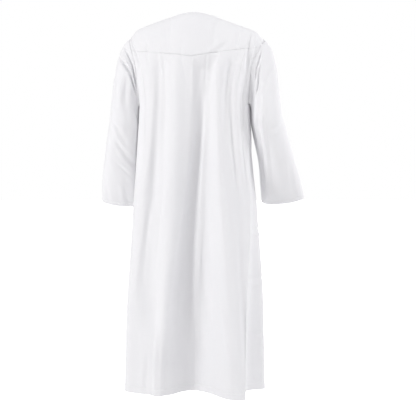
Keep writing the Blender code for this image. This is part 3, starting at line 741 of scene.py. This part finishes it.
def floor_finish():
    """Smooth near-white studio floor."""
    made, nodes, links, shader = new_finish("studio_floor", {
        "Roughness": 0.9,
        "Specular IOR Level": 0.1,
        "Emission Color": (1.0, 1.0, 1.0, 1.0),
    })
    ray = nodes.new("ShaderNodeLightPath")
    glow = nodes.new("ShaderNodeMath")
    glow.operation = "MULTIPLY"
    glow.inputs[1].default_value = FLOOR_GLOW
    links.new(ray.outputs["Is Camera Ray"], glow.inputs[0])
    links.new(glow.outputs[0], shader.inputs["Emission Strength"])
    where = nodes.new("ShaderNodeTexCoord").outputs["Object"]
    mottle = noise_on(nodes, links, where, {"Scale": 1.5})
    shade = between(nodes, links, mottle, (0.93, 0.93, 0.93), (0.95, 0.95, 0.95))
    links.new(shade, shader.inputs["Base Color"])
    return made


# Cloth panels
def grid_shares(columns, rows, up_knots):
    """Shares across and up for a grid, with its rows drawn together where knots say."""
    across, up = numpy.meshgrid(
        numpy.linspace(0.0, 1.0, columns + 1), numpy.linspace(0.0, 1.0, rows + 1)
    )
    if up_knots is not None:
        up = numpy.interp(up, up_knots[0], up_knots[1])
    return across, up


def walked(points, axis):
    """Distances along the cloth from its first row or column."""
    steps = numpy.linalg.norm(numpy.diff(points, axis=axis), axis=-1)
    total = numpy.cumsum(steps, axis=axis)
    shape = list(total.shape)
    shape[axis] = 1
    return numpy.concatenate([numpy.zeros(shape), total], axis=axis)


def grid_normals(points, facing, wrap):
    """Normals of a grid of points, turned to the side that a rough direction faces."""
    if wrap:
        longer = numpy.concatenate([points[:, -2:-1], points, points[:, 1:2]], axis=1)
        along = longer[:, 2:] - longer[:, :-2]
    else:
        along = numpy.gradient(points, axis=1)
    up = numpy.gradient(points, axis=0)
    normals = unit(numpy.cross(along, up))
    if numpy.sum(normals * facing) < 0.0:
        normals = -normals
    return normals


def crease_height(across, up, creases):
    """How far creases lift the cloth, with places and creases both in metres.

    Each crease is (start across, start up, end across, end up, reach, depth).
    """
    total = numpy.zeros(across.shape)
    for start_across, start_up, end_across, end_up, reach, depth in creases:
        run_across = end_across - start_across
        run_up = end_up - start_up
        square = run_across**2 + run_up**2
        share = ((across - start_across) * run_across + (up - start_up) * run_up) / square
        inside = (share > 0.0) & (share < 1.0)
        share = numpy.clip(share, 0.0, 1.0)
        sag = CREASE_SAG * math.sqrt(square) * share * (1.0 - share)
        off = (across - start_across) * run_up - (up - start_up) * run_across
        away = numpy.abs(off / math.sqrt(square) - sag)
        width = reach * (0.75 + 0.5 * share)
        wave = numpy.cos(0.5 * math.pi * numpy.clip(away / width, 0.0, 1.0)) ** 2
        fade = smooth(share / CREASE_FADE) * smooth((1.0 - share) / CREASE_FADE)
        total = total + numpy.where(inside, depth * wave * fade, 0.0)
    return total


def rumple(points, seed):
    """Long soft unevenness and a finer crumple, the same on every run."""
    flat = points.reshape(-1, 3)
    found = numpy.empty(len(flat))
    for index, (x, y, z) in enumerate(flat):
        soft = noise.noise(Vector((x * 17.0 + seed, y * 17.0, z * 4.5)))
        fine = noise.noise(Vector((x * 70.0, y * 70.0 + seed, z * 38.0)))
        found[index] = RUMPLE_DEPTH * soft + CRUMPLE_DEPTH * fine
    return found.reshape(points.shape[:-1])


def hem_height(up, along, turn):
    """A turned hem: a stitched groove, a slightly thicker edge and puckers between."""
    groove = numpy.exp(-(((up - turn) / GROOVE_WIDTH) ** 2))
    folded = smooth((turn - up) / TURN_SOFTNESS)
    ripple = numpy.sin(2.0 * math.pi * (along + 0.5 * up) / PUCKER_LENGTH)
    ripple = ripple * numpy.sin(2.0 * math.pi * along / (2.7 * PUCKER_LENGTH) + 1.0)
    spread = numpy.exp(-(((up - turn) / PUCKER_SPREAD) ** 2))
    return TURN_THICKNESS * (folded - groove) + PUCKER_DEPTH * ripple * spread


def seam_height(distance):
    return -SEAM_SINK * numpy.exp(-((distance / SEAM_SOFTNESS) ** 2))


Panel = namedtuple("Panel", "points normals across up")


def panel_object(name, panel, material, keep=None, closed=False, wall=WALL):
    """A cloth piece on a grid of points, given its thickness inwards by a modifier."""
    rows, columns = panel.points.shape[0] - 1, panel.points.shape[1] - 1
    mesh = bmesh.new()
    bmesh.ops.create_grid(mesh, x_segments=columns, y_segments=rows, size=0.5)
    cloth_map = mesh.loops.layers.uv.new("cloth")
    places = {}
    for vertex in mesh.verts:
        column = int(round((vertex.co.x + 0.5) * columns))
        row = int(round((vertex.co.y + 0.5) * rows))
        places[vertex] = (row, column)
    for face in mesh.faces:
        for loop in face.loops:
            row, column = places[loop.vert]
            loop[cloth_map].uv = (panel.across[row, column], panel.up[row, column])
    for vertex, (row, column) in places.items():
        vertex.co = panel.points[row, column]
    if keep is not None:
        dropped = []
        for face in mesh.faces:
            row = min(places[vertex][0] for vertex in face.verts)
            column = min(places[vertex][1] for vertex in face.verts)
            if not keep(column, row):
                dropped.append(face)
        bmesh.ops.delete(mesh, geom=dropped, context="FACES")
    middle = mesh.faces[:][len(mesh.faces) // 2]
    row, column = places[middle.verts[0]]
    middle.normal_update()
    turned = middle.normal.dot(Vector(panel.normals[row, column])) < 0.0
    if turned:
        bmesh.ops.reverse_faces(mesh, faces=mesh.faces[:])
    if closed:
        bmesh.ops.remove_doubles(mesh, verts=mesh.verts[:], dist=MERGE_DISTANCE)
    return finished(name, mesh, material, wall)


def finished(name, mesh, material, wall=0.0):
    for face in mesh.faces:
        face.smooth = True
    data = bpy.data.meshes.new(name)
    mesh.to_mesh(data)
    mesh.free()
    data.materials.append(material)
    obj = bpy.data.objects.new(name, data)
    bpy.context.scene.collection.objects.link(obj)
    if wall > 0.0:
        thick = obj.modifiers.new("cloth_thickness", "SOLIDIFY")
        thick.thickness = wall
        thick.offset = -1.0
        thick.use_even_offset = False
    return obj


HEM_KNOTS_BACK = ([0.0, 0.08, 0.93, 1.0], [0.0, 0.024, 0.965, 1.0])
HEM_KNOTS_FRONT = ([0.0, 0.08, 25 / 36, 1.0], [0.0, 0.024, 25 / 36, 1.0])
HEM_KNOTS_GORE = ([0.0, 0.09, 1.0], [0.0, 0.032, 1.0])


def torso_panel(place, grid, knots, which, seed, hem=True, drop=0.0):
    """A panel's points on the torso, with its creases, seams and hem."""
    across, up = grid_shares(grid[0], grid[1], knots)
    angle, height = place(across, up)
    points = torso(angle, height)
    facing = torso_normal(angle, height)
    normals = grid_normals(points, facing, False)
    normals[:, 0] = facing[:, 0]
    normals[:, -1] = facing[:, -1]
    from_left = walked(points, 1)
    from_foot = walked(points, 0)
    from_right = from_left[:, -1:] - from_left
    from_top = from_foot[-1:] - from_foot
    creases = []
    for crease in CREASES:
        if which in crease.panels or (which == "yoke" and crease.panels == "back"):
            creases.append((
                crease.at_start * METRES_PER_DEGREE,
                crease.z_start,
                crease.at_end * METRES_PER_DEGREE,
                crease.z_end,
                crease.reach,
                crease.depth,
            ))
    lift = crease_height(angle * METRES_PER_DEGREE, points[..., 2], creases)
    lift = lift * smooth(from_left / EDGE_CALM + 0.25) * smooth(from_right / EDGE_CALM + 0.25)
    edge = numpy.minimum(from_left, from_right)
    lift = lift + rumple(points, seed) * smooth(edge / RUMPLE_CALM)
    lift = lift + seam_height(from_left) + seam_height(from_right)
    lift = lift + seam_height(from_top)
    if hem:
        lift = lift + hem_height(from_foot, from_left, HEM_TURN)
    else:
        lift = lift + seam_height(from_foot)
    moved = points + normals * (lift - drop)[..., None]
    middle = 0.5 * from_left[:, -1:]
    return Panel(moved, normals, from_left - middle, from_foot)


# Sleeves
def armhole_places(side):
    """The armhole's edge from the armpit up the front, over the tip and down the back."""
    back_end, front_end = (0.0, 1.0) if side > 0 else (1.0, 0.0)
    gore = left_gore_place if side > 0 else right_gore_place
    quarter = numpy.linspace(0.0, 1.0, 25)[:-1]
    dense = numpy.linspace(0.0, 1.0, 49)[:-1]
    yoke = yoke_place(numpy.full(len(quarter), back_end), 1.0 - quarter)
    body = BODY_SHARE / (BODY_SHARE + BACK_SHARE_OVER_ARMPIT)
    back = back_place(numpy.full(len(dense), back_end), mix(1.0, body, dense))
    across = 1.0 - quarter if side > 0 else quarter
    under = gore(across, numpy.ones(len(across)))
    body = BODY_SHARE / (BODY_SHARE + FRONT_SHARE_OVER_ARMPIT)
    front = front_place(numpy.full(len(dense), front_end), mix(body, 1.0, dense))
    angle = numpy.concatenate([yoke[0], back[0], under[0], front[0]]) % 360.0
    height = numpy.concatenate([yoke[1], back[1], under[1], front[1]])
    return angle, height


def sleeve_loop(side):
    """Points and sleeve angles round the armhole."""
    angle, height = armhole_places(side)
    points = torso(angle, height)
    lowest = int(numpy.argmin(points[:, 2] + numpy.abs(points[:, 1])))
    steps = numpy.linalg.norm(numpy.roll(points, -1, axis=0) - points, axis=1)
    passed = numpy.concatenate([[0.0], numpy.cumsum(steps)])
    around = passed[:-1]
    down = 180.0 * around / passed[lowest]
    rise = 180.0 + 180.0 * (around - passed[lowest]) / (passed[-1] - passed[lowest])
    turned = numpy.where(numpy.arange(len(points)) <= lowest, down, rise)
    return points, turned


def resampled(loop, angles, wanted):
    """A closed loop's values at the wanted angles, by the angles that it was made at."""
    longer = numpy.concatenate([angles, [360.0]])
    closed = numpy.concatenate([loop, loop[:1]])
    columns = []
    for axis in range(loop.shape[1]):
        columns.append(numpy.interp(wanted % 360.0, longer, closed[:, axis]))
    return numpy.stack(columns, axis=-1)


def sleeve_middle(side, place):
    values = curve_through(SLEEVE_ROWS, place)
    x = values[..., 0] if side > 0 else -values[..., 1]
    z = values[..., 3] if side > 0 else values[..., 4]
    return joined(x, values[..., 2], z), values[..., 5], values[..., 6]


def sleeve_tube(side, angle, place):
    middle, half_width, half_depth = sleeve_middle(side, place)
    last = len(SLEEVE_ROWS) - 1.0
    ahead = sleeve_middle(side, numpy.minimum(place + 0.05, last))[0]
    behind = sleeve_middle(side, numpy.maximum(place - 0.05, 0.0))[0]
    down = unit(ahead - behind)
    outward = numpy.array([side, 0.0, 0.0]) + numpy.zeros(down.shape)
    outward = unit(outward - down * numpy.sum(outward * down, axis=-1, keepdims=True))
    backward = numpy.cross(down, outward) * -side
    cosine = numpy.cos(numpy.radians(angle))
    sine = numpy.sin(numpy.radians(angle))
    size = rounding(cosine, sine, SLEEVE_POWER)
    point = middle + outward * (half_width * cosine * size)[..., None]
    return point + backward * (half_depth * sine * size)[..., None], down


def sleeve_points(side, angle, along):
    """The sleeve's plain outside on a grid of angles and of places along it."""
    points, angles = sleeve_loop(side)
    start = resampled(points, angles, angle)
    end, down = sleeve_tube(side, angle, numpy.zeros(angle.shape))
    share = numpy.minimum(along / CAP_SHARE, 1.0)[..., None]
    reach = numpy.linalg.norm(end - start, axis=-1)[..., None]
    under = smooth((-numpy.cos(numpy.radians(angle)) - UNDERARM_FROM) / (1.0 - UNDERARM_FROM))
    leaving = unit(joined(side, 0.0, mix(CAP_SLOPE, UNDERARM_SLOPE, under)))
    square = share * share
    cube = square * share
    cap = start * (2 * cube - 3 * square + 1) + end * (3 * square - 2 * cube)
    cap = cap + leaving * (CAP_START_PULL * reach) * (cube - 2 * square + share)
    cap = cap + down * (CAP_END_PULL * reach) * (cube - square)
    place = numpy.clip((along - CAP_SHARE) / (1.0 - CAP_SHARE), 0.0, 1.0)
    tube = sleeve_tube(side, angle, place * (len(SLEEVE_ROWS) - 1))[0]
    return numpy.where((along < CAP_SHARE)[..., None], cap, tube)


def sleeve_fold_depth(side, angle, along):
    total = numpy.zeros(angle.shape)
    for fold in SLEEVE_FOLDS:
        if fold.side != side:
            continue
        share = numpy.clip((along - fold.start) / (fold.end - fold.start), 0.0, 1.0)
        away = (angle - mix(fold.at_start, fold.at_end, share) + 180.0) % 360.0 - 180.0
        part = numpy.clip(numpy.abs(away) / fold.reach, 0.0, 1.0)
        wave = numpy.cos(0.5 * math.pi * part) ** 2
        total = total + fold.depth * wave * numpy.sin(math.pi * share) ** 2
    return total


def sleeve_panel(side, seed):
    """A sleeve's points from the armhole to the cuff, with its seam under the arm."""
    columns, rows = SLEEVE_GRID
    across, up = grid_shares(columns, rows, ([0.0, 0.88, 1.0], [0.0, 0.955, 1.0]))
    angle = 180.0 + 360.0 * across
    plain = sleeve_points(side, angle % 360.0, up)
    axis = plain.mean(axis=1, keepdims=True)
    normals = grid_normals(plain, plain - axis, True)
    folded = plain + normals * sleeve_fold_depth(side, angle % 360.0, up)[..., None]
    normals = grid_normals(folded, folded - axis, True)
    from_left = walked(folded, 1)
    from_top = walked(folded, 0)
    from_cuff = from_top[-1:] - from_top
    creases = []
    for crease in SLEEVE_CREASES:
        if crease.side == side:
            creases.append((
                crease.at_start * SLEEVE_METRES_PER_DEGREE,
                crease.start * SLEEVE_LENGTH,
                crease.at_end * SLEEVE_METRES_PER_DEGREE,
                crease.end * SLEEVE_LENGTH,
                crease.reach,
                crease.depth,
            ))
    place = (angle % 360.0) * SLEEVE_METRES_PER_DEGREE
    lift = crease_height(place, up * SLEEVE_LENGTH, creases)
    lift = lift * smooth(from_top / EDGE_CALM + 0.2)
    lift = lift + rumple(folded, seed) * smooth(from_top / RUMPLE_CALM)
    lift = lift + seam_height(from_top)
    lift = lift + seam_height(numpy.minimum(from_left, from_left[:, -1:] - from_left))
    lift = lift + hem_height(from_cuff, from_left, CUFF_TURN)
    moved = folded + normals * lift[..., None]
    moved[:, -1] = moved[:, 0]
    return Panel(moved, normals, from_left, -from_top)


# Sewing
def line_on(panel, edge, inset):
    """Points and normals on a line at an even distance from one edge of a panel."""
    points = panel.points
    normals = panel.normals
    if edge in ("left", "right"):
        points = points.swapaxes(0, 1)
        normals = normals.swapaxes(0, 1)
    if edge in ("right", "top"):
        points = points[::-1]
        normals = normals[::-1]
    distances = walked(points, 0)
    count = numpy.arange(points.shape[0])
    line = []
    facing = []
    for column in range(points.shape[1]):
        place = numpy.interp(inset, distances[:, column], count)
        low = min(int(place), points.shape[0] - 2)
        share = place - low
        line.append(mix(points[low, column], points[low + 1, column], share))
        facing.append(mix(normals[low, column], normals[low + 1, column], share))
    return numpy.array(line), numpy.array(facing)


def add_stitches(mesh, line, facing):
    """Short threads laid end to end along a line, half sunk into the cloth."""
    passed = walked(line, 0)
    count = int(passed[-1] / STITCH_SPACING)
    for number in range(count):
        middle = (number + 0.5) * STITCH_SPACING
        ends = []
        for away in (-0.5, 0.0, 0.5):
            at = middle + away * STITCH_LENGTH
            ends.append([numpy.interp(at, passed, line[:, axis]) for axis in range(3)])
        out = Vector([numpy.interp(middle, passed, facing[:, axis]) for axis in range(3)])
        along = (Vector(ends[2]) - Vector(ends[0])).normalized()
        side = along.cross(out).normalized()
        out = side.cross(along)
        turn = Matrix((along, side, out)).transposed().to_4x4()
        size = Matrix.Diagonal((STITCH_LENGTH, 2 * STITCH_RADIUS, 2 * STITCH_RADIUS, 1.0))
        place = Matrix.Translation(Vector(ends[1]) + out * (0.3 * STITCH_RADIUS))
        bmesh.ops.create_icosphere(mesh, subdivisions=1, radius=0.5, matrix=place @ turn @ size)


def stitches(name, lines, thread):
    mesh = bmesh.new()
    for line, facing in lines:
        add_stitches(mesh, line, facing)
    return finished(name, mesh, thread)


# Neck binding
def neck_angles():
    """Angles round the neck's edge, from the wearer's left over the back to the front."""
    behind = numpy.linspace(ARMHOLE_ANGLE, 180.0 - ARMHOLE_ANGLE, 400)
    ahead = numpy.linspace(180.0 + ARMHOLE_ANGLE, 360.0 - ARMHOLE_ANGLE, 400)
    angles = numpy.concatenate([behind, ahead])
    return angles[numpy.abs(column_top(angles)[:, 0]) < NECK_HALF_WIDTH]


def binding_panel():
    """A folded strip round the neck with a rounded top and a pressed lower edge."""
    angles = neck_angles()
    edge = torso(angles, numpy.ones(len(angles)))
    closed = numpy.concatenate([edge, edge[:1]])
    columns, rows = BINDING_GRID[0] + 1, BINDING_GRID[1] + 1
    passed = walked(closed, 0)
    evenly = numpy.linspace(0.0, passed[-1], columns)
    edge = numpy.stack([numpy.interp(evenly, passed, closed[:, axis]) for axis in range(3)], -1)
    inwards = numpy.array([0.0, SHOULDER_RIDGE_Y, 0.0]) - edge
    inwards[:, 2] = 0.0
    inwards = unit(inwards)
    rise = unit(numpy.array([0.0, 0.0, 1.0]) + inwards * BINDING_LEAN)
    low = edge + (rise + inwards) * SEAM_GAP
    turn = numpy.linspace(0.0, 2.0 * math.pi, rows)
    high = 0.5 - 0.5 * numpy.sign(numpy.cos(turn)) * numpy.abs(numpy.cos(turn)) ** 0.35
    thick = 0.5 - 0.5 * numpy.sin(turn) * (0.95 + 0.15 * numpy.cos(2.0 * turn))
    wave = 0.00025 * numpy.sin(evenly * 2.0 * math.pi / 0.0135 + numpy.sin(evenly * 60.0))
    points = low + rise * (high * BINDING_HEIGHT)[:, None, None]
    points = points + inwards * (thick * WALL)[:, None, None]
    points = points + inwards * (wave * numpy.ones((rows, columns)))[..., None]
    points[:, -1] = points[:, 0]
    points[-1] = points[0]
    middle = points[:-1].mean(axis=0, keepdims=True)
    normals = unit(points - middle)
    across = numpy.broadcast_to(evenly, (rows, columns))
    up = numpy.broadcast_to(numpy.linspace(0.0, 0.021, rows)[:, None], (rows, columns))
    return Panel(points, normals, across, up), edge, inwards, rise


# Buttons
def sewn_button(name, number, shell, thread):
    """A four-hole button with a raised rim, and the thread through its holes."""
    low, high = (Vector(corner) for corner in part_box("button_%d" % number))
    middle = 0.5 * (low + high)
    height = float(column_height(270.0, middle.z)) if middle.z > ARMPIT_Z else (
        (middle.z - ARMPIT_Z) / (ARMPIT_Z - HEM_Z)
    )
    out = Vector(torso_normal(270.0, height))
    turn = Vector((0.0, 0.0, 1.0)).rotation_difference(out).to_matrix().to_4x4()
    place = Matrix.Translation(middle) @ turn
    half = 0.5 * BUTTON_THICKNESS
    mesh = bmesh.new()
    bmesh.ops.create_circle(mesh, cap_ends=True, segments=48, radius=BUTTON_RADIUS * 0.86)
    bmesh.ops.translate(mesh, verts=mesh.verts[:], vec=(0.0, 0.0, -half))
    base = mesh.faces[:]
    made = bmesh.ops.extrude_face_region(mesh, geom=base)
    top = [item for item in made["geom"] if isinstance(item, bmesh.types.BMFace)]
    corners = [item for item in made["geom"] if isinstance(item, bmesh.types.BMVert)]
    bmesh.ops.translate(mesh, verts=corners, vec=(0.0, 0.0, half))
    bmesh.ops.scale(mesh, verts=corners, vec=(1.16, 1.16, 1.0))
    rim = ((0.96, 0.9 * half), (0.86, 0.0), (0.80, -0.5 * half), (0.30, 0.06 * half))
    for widen, lift in rim:
        made = bmesh.ops.extrude_face_region(mesh, geom=top)
        bmesh.ops.delete(mesh, geom=top, context="FACES_ONLY")
        top = [item for item in made["geom"] if isinstance(item, bmesh.types.BMFace)]
        corners = [item for item in made["geom"] if isinstance(item, bmesh.types.BMVert)]
        bmesh.ops.translate(mesh, verts=corners, vec=(0.0, 0.0, lift))
        bmesh.ops.scale(mesh, verts=corners, vec=(widen, widen, 1.0))
    bmesh.ops.recalc_face_normals(mesh, faces=mesh.faces[:])
    disc = finished(name, mesh, shell)
    punch = bmesh.new()
    spread = BUTTON_HOLE_SPREAD
    for across in (-spread, spread):
        for up in (-spread, spread):
            spot = Matrix.Translation((across, up, 0.0))
            bmesh.ops.create_cone(
                punch,
                cap_ends=True,
                segments=16,
                radius1=BUTTON_HOLE_RADIUS,
                radius2=BUTTON_HOLE_RADIUS,
                depth=4.0 * BUTTON_THICKNESS,
                matrix=spot,
            )
    holes = finished(name + "_holes", punch, shell)
    cut = disc.modifiers.new("holes", "BOOLEAN")
    cut.operation = "DIFFERENCE"
    cut.solver = "EXACT"
    cut.object = holes
    bpy.context.view_layer.update()
    graph = bpy.context.evaluated_depsgraph_get()
    pierced = bpy.data.meshes.new_from_object(disc.evaluated_get(graph))
    disc.modifiers.clear()
    old = disc.data
    disc.data = pierced
    bpy.data.meshes.remove(old)
    bpy.data.objects.remove(holes, do_unlink=True)
    disc.data.transform(place)
    sewn = bmesh.new()
    for across in (-spread, spread):
        bar = Matrix.Translation((across, 0.0, 0.12 * half))
        bar = bar @ Matrix.Rotation(0.5 * math.pi, 4, "X")
        bmesh.ops.create_cone(
            sewn,
            cap_ends=True,
            segments=12,
            radius1=BUTTON_THREAD_RADIUS,
            radius2=BUTTON_THREAD_RADIUS,
            depth=2.0 * spread + 0.0006,
            matrix=bar,
        )
    ends = []
    for edge in sewn.edges:
        if len(edge.link_faces) == 2 and edge.calc_face_angle() > 1.0:
            ends.append(edge)
    bmesh.ops.bevel(
        sewn, geom=ends, offset=0.00018, segments=2, profile=0.5, affect="EDGES", material=-1
    )
    knot = finished(name + "_thread", sewn, thread)
    knot.data.transform(place)
    return disc, knot


# Light, floor and camera
def soft_light(row):
    lamp = bpy.data.lights.new(row.name, "AREA")
    lamp.shape = "RECTANGLE"
    lamp.size, lamp.size_y = row.size
    lamp.energy = row.watts
    lamp.color = row.colour
    obj = bpy.data.objects.new(row.name, lamp)
    obj.location = row.place
    direction = Vector(LIGHT_AIM) - Vector(row.place)
    obj.rotation_mode = "QUATERNION"
    obj.rotation_quaternion = direction.to_track_quat("-Z", "Y")
    bpy.context.scene.collection.objects.link(obj)


def studio():
    scene = bpy.context.scene
    scene.view_settings.view_transform = "Standard"
    world = bpy.data.worlds.new("pale_studio")
    world.use_nodes = True
    nodes = world.node_tree.nodes
    links = world.node_tree.links
    light = nodes["Background"]
    light.inputs["Color"].default_value = (0.990, 0.980, 1.0, 1.0)
    light.inputs["Strength"].default_value = WORLD_STRENGTH
    seen = nodes.new("ShaderNodeBackground")
    seen.inputs["Color"].default_value = (1.0, 1.0, 1.0, 1.0)
    seen.inputs["Strength"].default_value = 1.0
    ray = nodes.new("ShaderNodeLightPath")
    either = nodes.new("ShaderNodeMixShader")
    links.new(ray.outputs["Is Camera Ray"], either.inputs[0])
    links.new(light.outputs[0], either.inputs[1])
    links.new(seen.outputs[0], either.inputs[2])
    links.new(either.outputs[0], nodes["World Output"].inputs["Surface"])
    scene.world = world
    mesh = bmesh.new()
    bmesh.ops.create_circle(mesh, cap_ends=True, segments=96, radius=FLOOR_RADIUS)
    bmesh.ops.translate(mesh, verts=mesh.verts[:], vec=(0.0, 0.0, FLOOR_Z))
    floor = finished("studio_floor", mesh, floor_finish())
    for row in LIGHTS:
        soft_light(row)


def photo_camera():
    lens = bpy.data.cameras.new("photo_camera")
    lens.sensor_width = 36.0
    lens.lens = CAMERA_LENS
    obj = bpy.data.objects.new("photo_camera", lens)
    place = Vector(CAMERA_PLACE)
    obj.location = place
    obj.rotation_mode = "QUATERNION"
    obj.rotation_quaternion = (Vector(CAMERA_AIM) - place).to_track_quat("-Z", "Y")
    lens.clip_end = 100.0
    bpy.context.scene.collection.objects.link(obj)
    bpy.context.scene.camera = obj


# Putting the robe together
def dressed(obj, node):
    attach(obj, "root")
    if node:
        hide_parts(node)
    return obj


def sewn_piece(node, panel, rows, cloth, thread, **shape):
    """A panel's cloth and its rows of stitches, each (edge, inset), in the node's place."""
    obj = dressed(panel_object(node + "_cloth", panel, cloth, **shape), node)
    lines = [line_on(panel, edge, inset) for edge, inset in rows]
    return obj, dressed(stitches(node + "_stitches", lines, thread), None)


HEMMED_SEWING = (("foot", HEM_TURN), ("left", STITCH_INSET), ("right", STITCH_INSET))
YOKE_SEWING = (("foot", STITCH_INSET), ("left", STITCH_INSET), ("right", STITCH_INSET))
SLEEVE_SEWING = (("top", CUFF_TURN), ("foot", STITCH_INSET))
PLACKET_SEWING = (
    ("left", TRIM_STITCH_INSET),
    ("right", TRIM_STITCH_INSET),
    ("foot", TRIM_STITCH_INSET),
    ("foot", PLACKET_CROSS_STITCH),
)


def make_robe():
    weave = plain_weave_group()
    cloth = thobe_cloth(weave)
    thread = sewing_thread(weave)
    shell = button_shell()

    back = torso_panel(back_place, BACK_GRID, HEM_KNOTS_BACK, "back", 3.0)
    back_obj, back_thread = sewn_piece("back_panel", back, HEMMED_SEWING, cloth, thread)

    yoke = torso_panel(yoke_place, YOKE_GRID, None, "yoke", 3.0, hem=False)
    yoke_obj, yoke_thread = sewn_piece("back_yoke", yoke, YOKE_SEWING, cloth, thread)

    front = torso_panel(front_place, FRONT_GRID, HEM_KNOTS_FRONT, "front", 11.0)
    slot_row = int(round(slot_first_share() * FRONT_GRID[1]))
    slot_half = FRONT_GRID[0] * FRONT_SLOT_SHARE // (2 * FRONT_COLUMN_SHARE)
    middle = FRONT_GRID[0] // 2

    def beside_slot(column, row):
        return row < slot_row or not middle - slot_half <= column < middle + slot_half

    front_obj, front_thread = sewn_piece(
        "front_panel", front, HEMMED_SEWING, cloth, thread, keep=beside_slot
    )

    gores = (
        ("left", left_gore_place, 17.0, (0.105, 1.065), 0.082),
        ("right", right_gore_place, 23.0, (0.205, 1.065), 0.139),
    )
    for name, place, seed, flat, area in gores:
        gore = torso_panel(place, GORE_GRID, HEM_KNOTS_GORE, "gore", seed)
        node = "side_gore_" + name
        gore_obj, gore_thread = sewn_piece(node, gore, HEMMED_SEWING[:1], cloth, thread)

    for name, side, seed in (("left", 1, 29.0), ("right", -1, 31.0)):
        sleeve = sleeve_panel(side, seed)
        node = "sleeve_" + name
        sleeve_obj, sleeve_thread = sewn_piece(
            node, sleeve, SLEEVE_SEWING, cloth, thread, closed=True
        )

    binding, edge, inwards, rise = binding_panel()
    binding_obj = panel_object("neck_binding_cloth", binding, cloth, closed=True, wall=0.0)
    dressed(binding_obj, "neck_binding")
    sewn_at = edge + (rise + inwards) * SEAM_GAP + rise * TRIM_STITCH_INSET
    binding_thread = dressed(stitches("neck_binding_stitches", [(sewn_at, -inwards)], thread), None)

    over = torso_panel(placket_place(SEAM_GAP), PLACKET_GRID, None, "placket", 37.0, hem=False)
    over_obj, over_thread = sewn_piece("placket_over", over, PLACKET_SEWING, cloth, thread)
    under = torso_panel(placket_place(PLACKET_UNDER_MARGIN), PLACKET_GRID, None, "placket", 41.0,
                        hem=False, drop=WALL + SEAM_GAP)
    under_obj = dressed(panel_object("placket_under_cloth", under, cloth), "placket_under")

    for number in (1, 2, 3):
        name = "pearl_button_%d" % number
        disc, knot = sewn_button(name, number, shell, thread)
        dressed(disc, "button_%d" % number)
        dressed(knot, None)


photo_camera()
studio()
make_robe()
